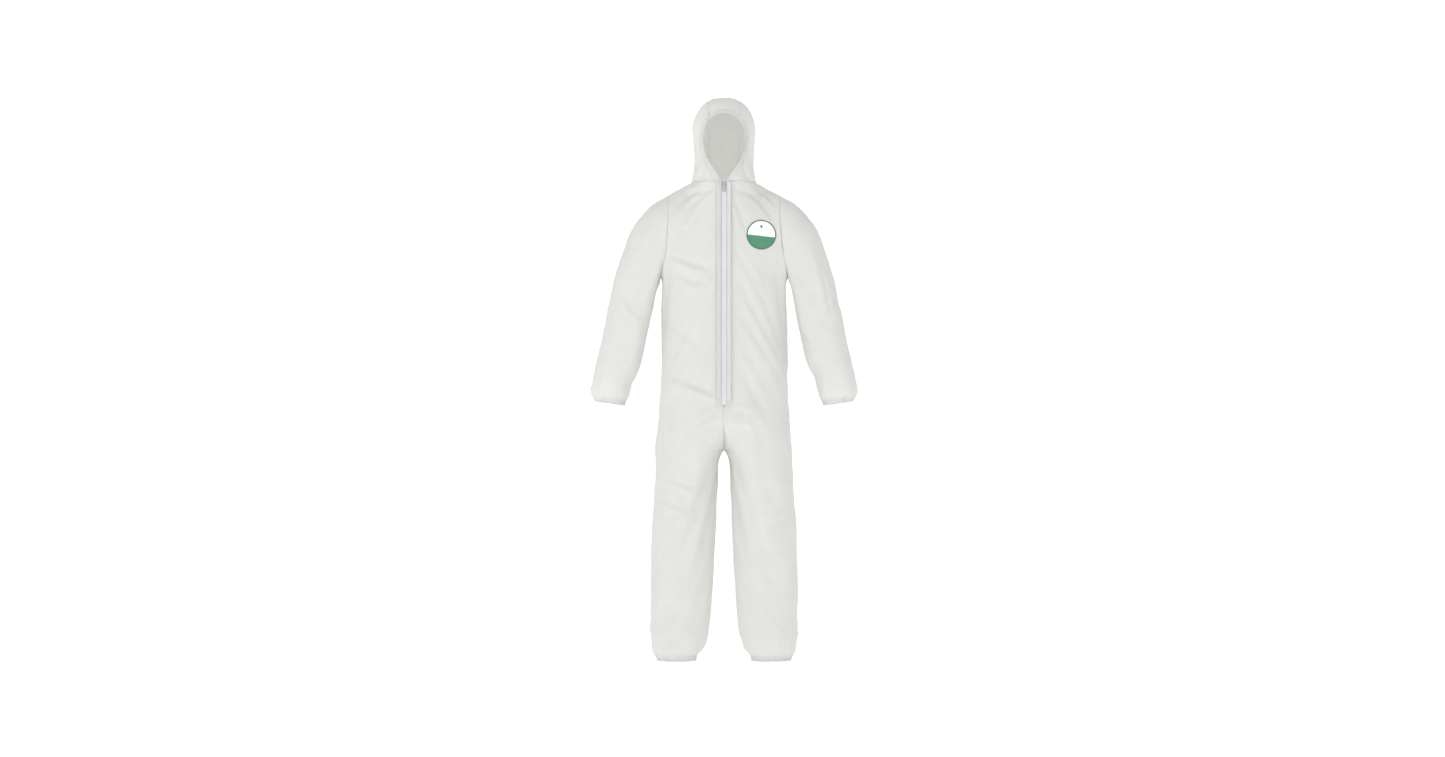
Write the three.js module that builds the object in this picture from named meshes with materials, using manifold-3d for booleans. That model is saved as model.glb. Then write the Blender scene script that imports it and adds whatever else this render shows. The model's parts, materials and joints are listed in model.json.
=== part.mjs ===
// A hooded one-piece chemical protective suit (a disposable coverall), held up and filled out as if
// it were worn. Millimetres, +Z up. The suit's front faces -Y, and the wearer's left is +X.
// Heights below are above the lowest edge of the ankle hems; the finished group is lowered so that the
// origin is between the shoulders, where the wearer carries the suit.
import * as THREE from 'three';
import { mergeVertices } from 'three/addons/utils/BufferGeometryUtils.js';
import Module from 'manifold-3d';

const wasm = await Module();
wasm.setup();

// ---------------------------------------------------------------- driving dimensions
const ORIGIN_HEIGHT = 1500;
const CLOTH = 1.6;              // a panel with its seam layers
const SEAM_GAP = 0.3;           // from each panel's edge to the middle of the seam
const JOINT_GAP = 0.5;          // between the body and the sleeves or hood

const CROTCH_HEIGHT = 675;
const RISE_HEIGHT = 810;        // where the trunk starts to part into legs
const RISE_FULLNESS = 0.12;     // how much the belly and seat are let out there
const YOKE_HEIGHT = 1180;       // where the rows start to bend up around the armholes
const UNDERARM_HEIGHT = 1233;
const NECK_HEIGHT = 1530;
const CROWN_HEIGHT = 1802;

const ZIP_BOTTOM_HEIGHT = 818;
const ZIP_BOTTOM_DEPTH = 140;   // how far in front of the origin the zip lies at each end
const ZIP_TOP_DEPTH = 104;
const ZIP_HALF_GAP = 6.5;       // from the middle of the zip to a front panel's edge

const TRUNK_SQUARENESS = 2.5;   // 2 is an ellipse, more is squarer
const LEG_SQUARENESS = 2.2;

// Heights, and what is there.
const TRUNK_HALF_WIDTH = [
  [CROTCH_HEIGHT, 221], [742, 214], [829, 208], [915, 204], [1059, 197], [1203, 198], [1233, 204],
];
const TRUNK_BACK_DEPTH = [[CROTCH_HEIGHT, 132], [829, 134], [960, 120], [1100, 118], [1250, 128]];
const LEG_INNER = [
  [0, 90], [22, 79], [51, 64], [138, 50], [253, 45], [397, 38], [512, 30], [598, 24], [656, 12],
  [CROTCH_HEIGHT, 0],
];
const LEG_OUTER = [
  [0, 214], [22, 226], [51, 235], [138, 238], [397, 237], [512, 228], [656, 221], [CROTCH_HEIGHT, 221],
];
const LEG_HALF_DEPTH = [
  [0, 54], [22, 64], [51, 72], [138, 77], [253, 82], [397, 90], [512, 101], [600, 112],
  [CROTCH_HEIGHT, 120],
];
const LEG_SHIFT_BACK = [[0, 6], [253, 8], [512, -2], [CROTCH_HEIGHT, 0]];
const UPPER_BACK_ROUND = 20;    // how far the upper back swells out from a straight line

// The armhole runs from the underarm over the shoulder; its front and back bow in towards the body.
const UNDERARM = new THREE.Vector3(205, 0, UNDERARM_HEIGHT);
const SHOULDER_TIP = new THREE.Vector3(172, -4, 1490);
const ARMHOLE_HALF_DEPTH = 76;
const ARMHOLE_BOW = 8;

// Each ring of the sleeve: how far along it is, its outer point, its inner point and its half depth.
const SLEEVE_RINGS = [
  { at: 0.10, outer: [226, 1460], inner: [210, 1218], halfDepth: 82 },
  { at: 0.20, outer: [285, 1397], inner: [217, 1196], halfDepth: 80 },
  { at: 0.32, outer: [322, 1312], inner: [225, 1166], halfDepth: 76 },
  { at: 0.45, outer: [350, 1232], inner: [236, 1115], halfDepth: 72 },
  { at: 0.60, outer: [374, 1125], inner: [251, 1050], halfDepth: 68 },
  { at: 0.75, outer: [398, 1010], inner: [270, 965], halfDepth: 65 },
  { at: 0.88, outer: [424, 900], inner: [294, 878], halfDepth: 62 },
  { at: 0.95, outer: [425, 856], inner: [304, 840], halfDepth: 57 },
  { at: 1.00, outer: [413, 828], inner: [317, 814], halfDepth: 46 },
];
const SLEEVE_FORWARD = 14;      // how far forward the wrist hangs

// The hood: each level's height, half width, and how far it reaches forward and back.
const HOOD_LEVELS = [
  { height: 1500, halfWidth: 98, front: 104, back: 78 },
  { height: 1548, halfWidth: 97, front: 103, back: 84 },
  { height: 1592, halfWidth: 94, front: 103, back: 102 },
  { height: 1640, halfWidth: 97, front: 105, back: 121 },
  { height: 1693, halfWidth: 101, front: 106, back: 130 },
  { height: 1730, halfWidth: 96, front: 99, back: 125 },
  { height: 1760, halfWidth: 82, front: 84, back: 108 },
  { height: 1782, halfWidth: 63, front: 62, back: 84 },
  { height: 1796, halfWidth: 36, front: 33, back: 52 },
];
const HOOD_SQUARENESS = 2.3;
const GUSSET_HALF_WIDTH = 48;
const GUSSET_FRONT_HEIGHT = 1700;   // the centre panel's lowest point in front, inside the face opening
const FACE_TOP_HEIGHT = 1742;
const FACE_HALF_WIDTH = 68;
const FACE_WIDEST_HEIGHT = 1655;
const FACE_FOOT_HALF_WIDTH = 8;     // at the neck, over the top of the zip
const FACE_FOOT_FLARE = { x: 22, height: 34 };   // how the opening's sides leave the neck
const FACE_JAW_DROP = 48;           // the handles of the curve below and above the widest place
const FACE_BROW_RISE = 50;
const FACE_BROW_SHARE = 0.6;        // how much of the half width the brow's handle takes
const FACE_CUT_DEPTH = -20;         // the opening is cut from the front as far back as this

const ELASTIC_THICKNESS = 1.0;
const HEM_ELASTIC_WIDTH = 6;
const HEM_ELASTIC_EDGE = 2;         // from a hem's edge to its elastic
const ELASTIC_GAP = 0.8;            // from a hem's inner face to its elastic
const FACE_ELASTIC_RADIUS = 1.6;
const FACE_ELASTIC_SETBACK = 6;     // from the edge of the face opening

const TAPE_WIDTH = 14;
const TAPE_THICKNESS = 0.7;
const COIL_HALF_WIDTH = 3;          // one side of the chain
const COIL_HEIGHT = 2.2;
const ZIP_PART_GAP = 0.4;
const TAPE_SETBACK = 1.7;           // from a front panel's inner face to the tape
const SLIDER_LENGTH = 14;
const SLIDER_HALF_WIDTH = 4.9;
const SLIDER_WALL = 1.3;
const SLIDER_CROWN = { reach: 3.6, rise: 4.0, wall: 1.2, width: 2.4, round: 1.4, sunk: 0.3 };
const PULL_LENGTH = 27;
const PULL_THICKNESS = 1.2;
const PULL_HALF_WIDTH = { top: 2.8, neck: 3.4, foot: 4.2, eye: 1.8 };
const PULL_BAR_HALF_HEIGHT = 0.75;
const PULL_NECK_DROP = 6.5;
const PULL_EYE_DROP = 5.2;
const PULL_FOOT_ROUND = 4;
const PULL_BAR_SETBACK = 1.5;       // from the slider's face to the middle of the pull

const LABEL_RADIUS = 47;
const LABEL_RINGS = [6, 27, LABEL_RADIUS];
const LABEL_PLUG_RADIUS = 7;        // closes the innermost ring
const LABEL_THICKNESS = 0.8;
const LABEL_LIFT = 1.5;
const LABEL_CENTRE = { x: 118, height: 1357 };
const CARE_LABEL = { halfWidth: 20, length: 58, thickness: 0.8, lean: 0.25, setback: 8, drop: 6 };

// ---------------------------------------------------------------- materials
function material(colour, roughness, metalness = 0) {
  return new THREE.MeshStandardMaterial({ color: colour, roughness, metalness });
}
const cloth = () => material(0xeeeeea, 0.75);
const elastic = () => material(0xf2f1ee, 0.85);
const zipTape = () => material(0xe4e4ee, 0.8);
const nylon = () => material(0xd6d6de, 0.45);
const slider = () => material(0xc9cad0, 0.35, 0.8);
const labelPrint = () => material(0x1f7a4d, 0.5);
const labelCloth = () => material(0xf6f6f4, 0.7);

// ---------------------------------------------------------------- curves and loops
const mix = THREE.MathUtils.lerp;

// A smooth function through [place, value] pairs.
function profile(pairs) {
  const slope = (i) => {
    const low = pairs[Math.max(i - 1, 0)];
    const high = pairs[Math.min(i + 1, pairs.length - 1)];
    return (high[1] - low[1]) / (high[0] - low[0]);
  };
  return (place) => {
    const last = pairs.length - 2;
    const found = pairs.findIndex((pair, i) => i > 0 && place <= pair[0]);
    const i = found < 0 ? last : found - 1;
    const span = pairs[i + 1][0] - pairs[i][0];
    const t = THREE.MathUtils.clamp((place - pairs[i][0]) / span, 0, 1);
    const bend = t * (1 - t) * span;
    return mix(pairs[i][1], pairs[i + 1][1], t * t * (3 - 2 * t))
      + bend * ((1 - t) * slope(i) - t * slope(i + 1));
  };
}

// Cosine or sine, squared off as in a superellipse.
const squared = (value, squareness) => Math.sign(value) * Math.abs(value) ** (2 / squareness);

// ---------------------------------------------------------------- shells from rows of points
// A grid is a list of rows of { point, outward }. Where outward is left out it is worked out from the
// neighbours; a seam or rim states it, so that the pieces that meet there have matching edges.
function surfaceNormal(rows, r, c, closed) {
  const count = rows[r].length;
  const before = closed ? (c + count - 1) % count : Math.max(c - 1, 0);
  const after = closed ? (c + 1) % count : Math.min(c + 1, count - 1);
  const across = rows[r][after].point.clone().sub(rows[r][before].point);
  const above = rows[Math.min(r + 1, rows.length - 1)][c].point;
  const along = above.clone().sub(rows[Math.max(r - 1, 0)][c].point);
  return across.cross(along).normalize();
}

function offsetRows(rows, distance, closed) {
  return rows.map((row, r) => row.map((entry, c) => {
    const outward = entry.outward || surfaceNormal(rows, r, c, closed);
    return { point: entry.point.clone().addScaledVector(outward, distance), outward };
  }));
}

// A closed shell between two grids, as one indexed geometry whose faces point out.
function shellBetween(outer, inner, closed) {
  const rowCount = outer.length;
  const count = outer[0].length;
  const positions = [];
  for (const rows of [outer, inner]) {
    for (const row of rows) {
      for (const { point } of row) {
        positions.push(point.x, point.y, point.z);
      }
    }
  }
  const at = (side, r, c) => side * rowCount * count + r * count + (c % count);
  const index = [];
  const quad = (a, b, c, d) => index.push(a, b, c, a, c, d);
  const lastColumn = closed ? count : count - 1;
  for (let r = 0; r < rowCount - 1; r += 1) {
    for (let c = 0; c < lastColumn; c += 1) {
      quad(at(0, r, c), at(0, r, c + 1), at(0, r + 1, c + 1), at(0, r + 1, c));
      quad(at(1, r, c), at(1, r + 1, c), at(1, r + 1, c + 1), at(1, r, c + 1));
    }
  }
  for (let c = 0; c < lastColumn; c += 1) {
    quad(at(0, 0, c), at(1, 0, c), at(1, 0, c + 1), at(0, 0, c + 1));
    const r = rowCount - 1;
    quad(at(0, r, c), at(0, r, c + 1), at(1, r, c + 1), at(1, r, c));
  }
  for (let r = 0; r < rowCount - 1 && !closed; r += 1) {
    quad(at(0, r, 0), at(0, r + 1, 0), at(1, r + 1, 0), at(1, r, 0));
    const c = count - 1;
    quad(at(0, r, c), at(1, r, c), at(1, r + 1, c), at(0, r + 1, c));
  }
  const geometry = new THREE.BufferGeometry();
  geometry.setAttribute('position', new THREE.Float32BufferAttribute(positions, 3));
  geometry.setIndex(index);
  return geometry;
}

function shell(rows, thickness, closed = false) {
  return shellBetween(rows, offsetRows(rows, -thickness, closed), closed);
}

// The same shape on the wearer's other side.
function mirrored(geometry) {
  const copy = geometry.index ? geometry.clone() : mergeVertices(geometry);
  const place = copy.attributes.position;
  for (let i = 0; i < place.count; i += 1) {
    place.setX(i, -place.getX(i));
  }
  const index = copy.index.array;
  for (let i = 0; i < index.length; i += 3) {
    [index[i], index[i + 1]] = [index[i + 1], index[i]];
  }
  return copy;
}

// ---------------------------------------------------------------- trunk and legs
const trunkHalfWidth = profile(TRUNK_HALF_WIDTH);
const trunkBackDepth = profile(TRUNK_BACK_DEPTH);
const legInner = profile(LEG_INNER);
const legOuter = profile(LEG_OUTER);
const legHalfDepth = profile(LEG_HALF_DEPTH);
const legShiftBack = profile(LEG_SHIFT_BACK);

// The zip is straight, so the front's middle is a straight line too.
function frontDepth(height) {
  const share = (height - ZIP_BOTTOM_HEIGHT) / (NECK_HEIGHT - ZIP_BOTTOM_HEIGHT);
  return mix(ZIP_BOTTOM_DEPTH, ZIP_TOP_DEPTH, share);
}

// Round half of the trunk: 0 is the middle of the front, 0.5 the side and 1 the middle of the back.
function trunkPoint(round, height) {
  const cosine = squared(Math.cos(Math.PI * round), TRUNK_SQUARENESS);
  const sine = squared(Math.sin(Math.PI * round), TRUNK_SQUARENESS);
  const depth = cosine > 0 ? frontDepth(height) : trunkBackDepth(height);
  return new THREE.Vector3(trunkHalfWidth(height) * sine, -depth * cosine, height);
}

// Round a leg: 0 and 1 are the inseam, 0.25 the front, 0.5 the outside and 0.75 the back.
function legPoint(round, height) {
  const angle = 2 * Math.PI * round;
  const middle = (legInner(height) + legOuter(height)) / 2;
  const halfWidth = (legOuter(height) - legInner(height)) / 2;
  const x = middle - halfWidth * squared(Math.cos(angle), LEG_SQUARENESS);
  const y = legShiftBack(height) - legHalfDepth(height) * squared(Math.sin(angle), LEG_SQUARENESS);
  return new THREE.Vector3(x, y, height);
}

// Between the trunk and the legs the middle line swings down and under, as the crotch seam does.
function risePoint(round, share) {
  const angle = share * Math.PI / 2;
  const drop = RISE_HEIGHT - CROTCH_HEIGHT;
  const sideHeight = RISE_HEIGHT - drop * share;
  const middleHeight = RISE_HEIGHT - drop * Math.sin(angle);
  const nearMiddle = Math.cos(Math.PI * round) ** 2;
  const trunk = trunkPoint(round, sideHeight);
  const leg = legPoint(round, CROTCH_HEIGHT);
  const point = leg.lerp(trunk, Math.cos(angle));
  point.y *= 1 + RISE_FULLNESS * Math.sin(2 * angle);
  point.z = mix(sideHeight, middleHeight, nearMiddle);
  return point;
}

// The armhole: 0 is the underarm and 1 the shoulder tip, round the front (-1) or the back (1).
function armholePoint(share, side) {
  const angle = Math.PI * share;
  const middle = UNDERARM.clone().lerp(SHOULDER_TIP, 0.5);
  const reach = SHOULDER_TIP.clone().sub(UNDERARM).multiplyScalar(-0.5 * Math.cos(angle));
  const point = middle.add(reach);
  point.y += side * ARMHOLE_HALF_DEPTH * Math.sin(angle);
  point.x -= ARMHOLE_BOW * Math.sin(angle);
  return point;
}

// Straight out from the middle of the armhole, in its own plane.
function armholeOutward(share, side) {
  const angle = Math.PI * share;
  const up = SHOULDER_TIP.clone().sub(UNDERARM).normalize();
  const outward = up.multiplyScalar(-Math.cos(angle));
  outward.y += side * Math.sin(angle);
  return outward.normalize();
}

const hoodMiddle = (level) => (level.back - level.front) / 2;
const hoodHalfDepth = (level) => (level.back + level.front) / 2;

// The neck seam: 0 is the middle of the front or back, 1 the side. It lies under the hood's lowest ring.
function neckPoint(share, side) {
  const level = HOOD_LEVELS[0];
  const angle = share * Math.PI / 2;
  const x = level.halfWidth * squared(Math.sin(angle), HOOD_SQUARENESS);
  const y = side * hoodHalfDepth(level) * squared(Math.cos(angle), HOOD_SQUARENESS);
  return new THREE.Vector3(x, hoodMiddle(level) + y, NECK_HEIGHT);
}

// The top of a body panel: along the neck seam, then along the shoulder seam.
const NECK_SHARE = 4 / 9;
function panelTop(share, side) {
  if (share <= NECK_SHARE) {
    return neckPoint(share / NECK_SHARE, side);
  }
  const along = (share - NECK_SHARE) / (1 - NECK_SHARE);
  return neckPoint(1, side).lerp(SHOULDER_TIP, along);
}

// The outer edge of the yoke: up the side seam, then round the armhole.
const SIDE_SHARE = 0.2;
function panelSide(share, side) {
  if (share <= SIDE_SHARE) {
    const height = mix(YOKE_HEIGHT, UNDERARM_HEIGHT, share / SIDE_SHARE);
    return new THREE.Vector3(trunkHalfWidth(height), 0, height);
  }
  return armholePoint((share - SIDE_SHARE) / (1 - SIDE_SHARE), side);
}

// The middle of the front (-1) or back (1), from the yoke's foot to the neck.
function panelMiddle(share, side) {
  const foot = trunkPoint(side < 0 ? 0 : 1, YOKE_HEIGHT);
  const neck = neckPoint(0, side);
  const point = foot.lerp(neck, share);
  if (side > 0) {
    point.y += UPPER_BACK_ROUND * Math.sin(Math.PI * share);
  }
  return point;
}

// A simple stand-in for a panel's top edge: one sweep from the middle of the neck to the shoulder tip.
function sweptTop(share, side) {
  const neck = neckPoint(0, side);
  const angle = share * Math.PI / 2;
  const x = SHOULDER_TIP.x * squared(Math.sin(angle), TRUNK_SQUARENESS);
  const y = mix(SHOULDER_TIP.y, neck.y, squared(Math.cos(angle), TRUNK_SQUARENESS));
  return new THREE.Vector3(x, y, mix(neck.z, SHOULDER_TIP.z, share));
}

// A surface stretched between simple edges, which bends to the true neck and armhole only near them.
const NECK_LOCALITY = 4;
const ARMHOLE_LOCALITY = 2.5;
function yokePoint(across, up, side) {
  const foot = trunkPoint(side < 0 ? across / 2 : 1 - across / 2, YOKE_HEIGHT);
  const middleFoot = trunkPoint(side < 0 ? 0 : 1, YOKE_HEIGHT);
  const sideFoot = panelSide(0, side);
  const straightSide = sideFoot.clone().lerp(SHOULDER_TIP, up);
  const neck = neckPoint(0, side);
  const point = new THREE.Vector3();
  point.addScaledVector(foot, 1 - up);
  point.addScaledVector(sweptTop(across, side), up);
  point.addScaledVector(panelMiddle(up, side), 1 - across);
  point.addScaledVector(straightSide, across);
  point.addScaledVector(middleFoot, -(1 - across) * (1 - up));
  point.addScaledVector(sideFoot, -across * (1 - up));
  point.addScaledVector(neck, -(1 - across) * up);
  point.addScaledVector(SHOULDER_TIP, -across * up);
  const neckDetail = panelTop(across, side).sub(sweptTop(across, side));
  const armholeDetail = panelSide(up, side).sub(straightSide);
  point.addScaledVector(neckDetail, up ** NECK_LOCALITY);
  return point.addScaledVector(armholeDetail, across ** ARMHOLE_LOCALITY);
}

// ---------------------------------------------------------------- body panels
const COLUMNS = 9;
const LEG_HEIGHTS = [0, 10, 24, 51, 100, 180, 290, 400, 500, 580, 640, CROTCH_HEIGHT];
const RISE_SHARES = [0.85, 0.68, 0.5, 0.3, 0.14, 0];
const TRUNK_HEIGHTS = [ZIP_BOTTOM_HEIGHT + 1, 900, 1000, 1100];
const YOKE_ROWS = 10;
const SEAM_TOLERANCE = 1e-6;
const CROTCH_TILT = -0.4;       // how far the cloth's thickness turns down at the crotch seam

// Keeps a panel's edges clear of the seams' middle planes and of the zip.
function trimmed(point, side) {
  const nearZip = side < 0 && point.z > ZIP_BOTTOM_HEIGHT;
  point.x = Math.max(point.x, nearZip ? ZIP_HALF_GAP : SEAM_GAP);
  return point;
}

// Which way an edge point's thickness runs, so that neighbours match; nothing for inner points.
function edgeOutward(column, side, part) {
  if (column === 0) {
    const directions = {
      leg: new THREE.Vector3(-1, 0, 0),
      rise: new THREE.Vector3(0, side, CROTCH_TILT).normalize(),
      trunk: new THREE.Vector3(0, side, 0),
    };
    return directions[part];
  }
  return column === COLUMNS ? new THREE.Vector3(1, 0, 0) : undefined;
}

function bodyRow(pointAt, side, part) {
  return Array.from({ length: COLUMNS + 1 }, (unused, column) => {
    const share = column / COLUMNS;
    const point = pointAt(side < 0 ? share / 2 : 1 - share / 2);
    if (column === COLUMNS || (column === 0 && part === 'leg')) {
      point.y += side * SEAM_GAP;
    }
    return { point: trimmed(point, side), outward: edgeOutward(column, side, part) };
  });
}

function hemOutward(point, middleX) {
  const outward = new THREE.Vector3(point.x - middleX, point.y, 0);
  return outward.normalize();
}

function yokeRow(row, side) {
  const up = row / YOKE_ROWS;
  return Array.from({ length: COLUMNS + 1 }, (unused, column) => {
    const across = column / COLUMNS;
    const point = yokePoint(across, up, side);
    const onNeck = row === YOKE_ROWS && across < NECK_SHARE + SEAM_TOLERANCE;
    const onShoulder = row === YOKE_ROWS && across > NECK_SHARE - SEAM_TOLERANCE;
    let outward = edgeOutward(column, side, 'trunk');
    if (column === COLUMNS && up > SIDE_SHARE) {
      outward = armholeOutward((up - SIDE_SHARE) / (1 - SIDE_SHARE), side);
    }
    if (onNeck) {
      outward = new THREE.Vector3(point.x, point.y - hoodMiddle(HOOD_LEVELS[0]), 0).normalize();
    }
    if (onShoulder) {
      const seam = SHOULDER_TIP.clone().sub(neckPoint(1, side));
      outward = new THREE.Vector3(-seam.z, 0, seam.x).normalize();
    }
    if (column === COLUMNS || onShoulder) {
      point.y += side * SEAM_GAP;
    }
    return { point: trimmed(point, side), outward };
  });
}

// A panel runs from the ankle to the shoulder in one piece: side -1 is a front panel, 1 a back panel.
function bodyPanelRows(side) {
  const rows = [];
  for (const height of LEG_HEIGHTS) {
    rows.push(bodyRow((round) => legPoint(round, height), side, 'leg'));
  }
  const hemMiddle = (legInner(0) + legOuter(0)) / 2;
  for (const entry of rows[0]) {
    entry.outward = hemOutward(entry.point, hemMiddle);
  }
  for (const share of RISE_SHARES) {
    rows.push(bodyRow((round) => risePoint(round, share), side, 'rise'));
  }
  for (const height of TRUNK_HEIGHTS) {
    rows.push(bodyRow((round) => trunkPoint(round, height), side, 'trunk'));
  }
  for (let row = 0; row <= YOKE_ROWS; row += 1) {
    rows.push(yokeRow(row, side));
  }
  return rows;
}

// The shell code wants rows that run left to right seen from outside.
function bodyPanel(side) {
  const rows = bodyPanelRows(side);
  const ordered = side < 0 ? rows : rows.map((row) => row.slice().reverse());
  return shell(ordered, CLOTH);
}

// ---------------------------------------------------------------- sleeves
const SLEEVE_COLUMNS = 16;

// Round the first ring of the sleeve: 0 is the shoulder tip, a quarter the front, half the underarm.
function armholeRing() {
  return Array.from({ length: SLEEVE_COLUMNS }, (unused, column) => {
    const turn = column / SLEEVE_COLUMNS;
    const side = turn < 0.5 ? 1 : -1;
    const share = turn < 0.5 ? 1 - 2 * turn : 2 * turn - 1;
    const point = armholePoint(share, side);
    point.x += JOINT_GAP;
    return { point, outward: armholeOutward(share, side) };
  });
}

function sleeveRing({ at, outer, inner, halfDepth }, inset = 0) {
  const top = new THREE.Vector3(outer[0], 0, outer[1]);
  const foot = new THREE.Vector3(inner[0], 0, inner[1]);
  const middle = top.clone().lerp(foot, 0.5);
  const halfSpan = top.clone().sub(foot).multiplyScalar(0.5);
  const halfWidth = halfSpan.length();
  halfSpan.multiplyScalar((halfWidth - inset) / halfWidth);
  middle.y = -SLEEVE_FORWARD * at;
  return Array.from({ length: SLEEVE_COLUMNS }, (unused, column) => {
    const angle = 2 * Math.PI * column / SLEEVE_COLUMNS;
    const point = middle.clone().addScaledVector(halfSpan, Math.cos(angle));
    point.y += (halfDepth - inset) * Math.sin(angle);
    const outward = point.clone().sub(middle).normalize();
    return { point, outward };
  });
}

function sleeve() {
  const rows = [armholeRing()];
  for (const ring of SLEEVE_RINGS) {
    rows.push(sleeveRing(ring));
  }
  for (const row of rows.slice(1, -1)) {
    for (const entry of row) {
      delete entry.outward;
    }
  }
  return shell(rows.reverse(), CLOTH, true);
}

// ---------------------------------------------------------------- elastics in the hems
function wristElastic() {
  const [before, last] = SLEEVE_RINGS.slice(-2);
  const inset = CLOTH + ELASTIC_GAP;
  const span = Math.hypot(last.outer[0] - before.outer[0], last.outer[1] - before.outer[1]);
  const ringAt = (distance) => {
    const share = distance / span;
    const blend = (a, b) => a.map((value, i) => mix(value, b[i], share));
    return sleeveRing({
      at: mix(last.at, before.at, share),
      outer: blend(last.outer, before.outer),
      inner: blend(last.inner, before.inner),
      halfDepth: mix(last.halfDepth, before.halfDepth, share),
    }, inset);
  };
  const rings = [ringAt(HEM_ELASTIC_EDGE), ringAt(HEM_ELASTIC_EDGE + HEM_ELASTIC_WIDTH)];
  return shell(rings, ELASTIC_THICKNESS, true);
}

const ANKLE_ELASTIC_COLUMNS = 18;
function ankleElastic() {
  const ringAt = (height) => Array.from({ length: ANKLE_ELASTIC_COLUMNS }, (unused, column) => {
    const round = column / ANKLE_ELASTIC_COLUMNS;
    const middleX = (legInner(height) + legOuter(height)) / 2;
    const middle = new THREE.Vector3(middleX, legShiftBack(height), height);
    const point = legPoint(round, height);
    const outward = point.clone().sub(middle).normalize();
    point.addScaledVector(outward, -(CLOTH + 2 * ELASTIC_GAP));
    return { point, outward };
  });
  const rings = [ringAt(HEM_ELASTIC_EDGE), ringAt(HEM_ELASTIC_EDGE + HEM_ELASTIC_WIDTH)];
  return shell(rings, ELASTIC_THICKNESS, true);
}

// ---------------------------------------------------------------- hood
function toSolid(geometry) {
  const bare = geometry.clone();
  bare.deleteAttribute('normal');
  bare.deleteAttribute('uv');
  const merged = mergeVertices(bare, 1e-4);
  const vertProperties = new Float32Array(merged.attributes.position.array);
  const triVerts = new Uint32Array(merged.index.array);
  return new wasm.Manifold(new wasm.Mesh({ numProp: 3, vertProperties, triVerts }));
}

function toGeometry(solid) {
  const { vertProperties, triVerts, numProp } = solid.getMesh();
  const positions = [];
  for (let i = 0; i < vertProperties.length; i += numProp) {
    positions.push(vertProperties[i], vertProperties[i + 1], vertProperties[i + 2]);
  }
  const geometry = new THREE.BufferGeometry();
  geometry.setAttribute('position', new THREE.Float32BufferAttribute(positions, 3));
  geometry.setIndex(Array.from(triVerts));
  return geometry;
}

const hoodAt = (key) => profile(HOOD_LEVELS.map((level) => [level.height, level[key]]));
const hoodHalfWidth = hoodAt('halfWidth');
const hoodFront = hoodAt('front');
const hoodBack = hoodAt('back');

// A closed body of stacked rings, with a point at the crown and another under the lowest ring.
const HOOD_COLUMNS = 28;
const DOME_INSET_SHARE = 0.6;   // how much of the inset also lowers a ring
function hoodBody(inset) {
  const columns = HOOD_COLUMNS;
  const positions = [];
  for (const level of HOOD_LEVELS) {
    for (let column = 0; column < columns; column += 1) {
      const angle = 2 * Math.PI * column / columns;
      const x = (level.halfWidth - inset) * squared(Math.sin(angle), HOOD_SQUARENESS);
      const y = -(hoodHalfDepth(level) - inset) * squared(Math.cos(angle), HOOD_SQUARENESS);
      const lowered = level === HOOD_LEVELS[0] ? inset : inset * DOME_INSET_SHARE;
      positions.push(x, hoodMiddle(level) + y, level.height - lowered);
    }
  }
  const top = HOOD_LEVELS[HOOD_LEVELS.length - 1];
  const crown = positions.length / 3;
  positions.push(0, hoodMiddle(top), CROWN_HEIGHT - inset);
  positions.push(0, hoodMiddle(HOOD_LEVELS[0]), HOOD_LEVELS[0].height - inset - 1);
  const index = [];
  for (let column = 0; column < columns; column += 1) {
    const next = (column + 1) % columns;
    for (let r = 0; r < HOOD_LEVELS.length - 1; r += 1) {
      const low = r * columns;
      const high = low + columns;
      index.push(low + column, low + next, high + next, low + column, high + next, high + column);
    }
    const last = (HOOD_LEVELS.length - 1) * columns;
    index.push(last + column, last + next, crown, next, column, crown + 1);
  }
  const geometry = new THREE.BufferGeometry();
  geometry.setAttribute('position', new THREE.Float32BufferAttribute(positions, 3));
  geometry.setIndex(index);
  return geometry;
}

// The face opening from the front: wide at the cheeks, narrowing to the top of the zip.
function faceOutline(grow = 0) {
  const wide = FACE_HALF_WIDTH + grow;
  const top = FACE_TOP_HEIGHT + grow;
  const foot = FACE_FOOT_HALF_WIDTH + grow;
  const brow = wide * FACE_BROW_SHARE;
  const jawHandle = FACE_WIDEST_HEIGHT - FACE_JAW_DROP;
  const browHandle = FACE_WIDEST_HEIGHT + FACE_BROW_RISE;
  const flareX = foot + FACE_FOOT_FLARE.x;
  const flareHeight = NECK_HEIGHT + FACE_FOOT_FLARE.height;
  const outline = new THREE.Shape();
  outline.moveTo(foot, NECK_HEIGHT);
  outline.bezierCurveTo(flareX, flareHeight, wide, jawHandle, wide, FACE_WIDEST_HEIGHT);
  outline.bezierCurveTo(wide, browHandle, brow, top, 0, top);
  outline.bezierCurveTo(-brow, top, -wide, browHandle, -wide, FACE_WIDEST_HEIGHT);
  outline.bezierCurveTo(-wide, jawHandle, -flareX, flareHeight, -foot, NECK_HEIGHT);
  return outline;
}

// An outline drawn in X and height, pushed through from one depth to another.
function frontPrism(outline, fromY, toY, segments) {
  const geometry = new THREE.ExtrudeGeometry(outline, {
    depth: toY - fromY, bevelEnabled: false, curveSegments: segments,
  });
  geometry.rotateX(Math.PI / 2);
  geometry.translate(0, toY, 0);
  return geometry;
}

function block(low, high) {
  const size = high.map((value, i) => value - low[i]);
  const geometry = new THREE.BoxGeometry(...size);
  geometry.translate(...low.map((value, i) => value + size[i] / 2));
  return geometry;
}

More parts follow.
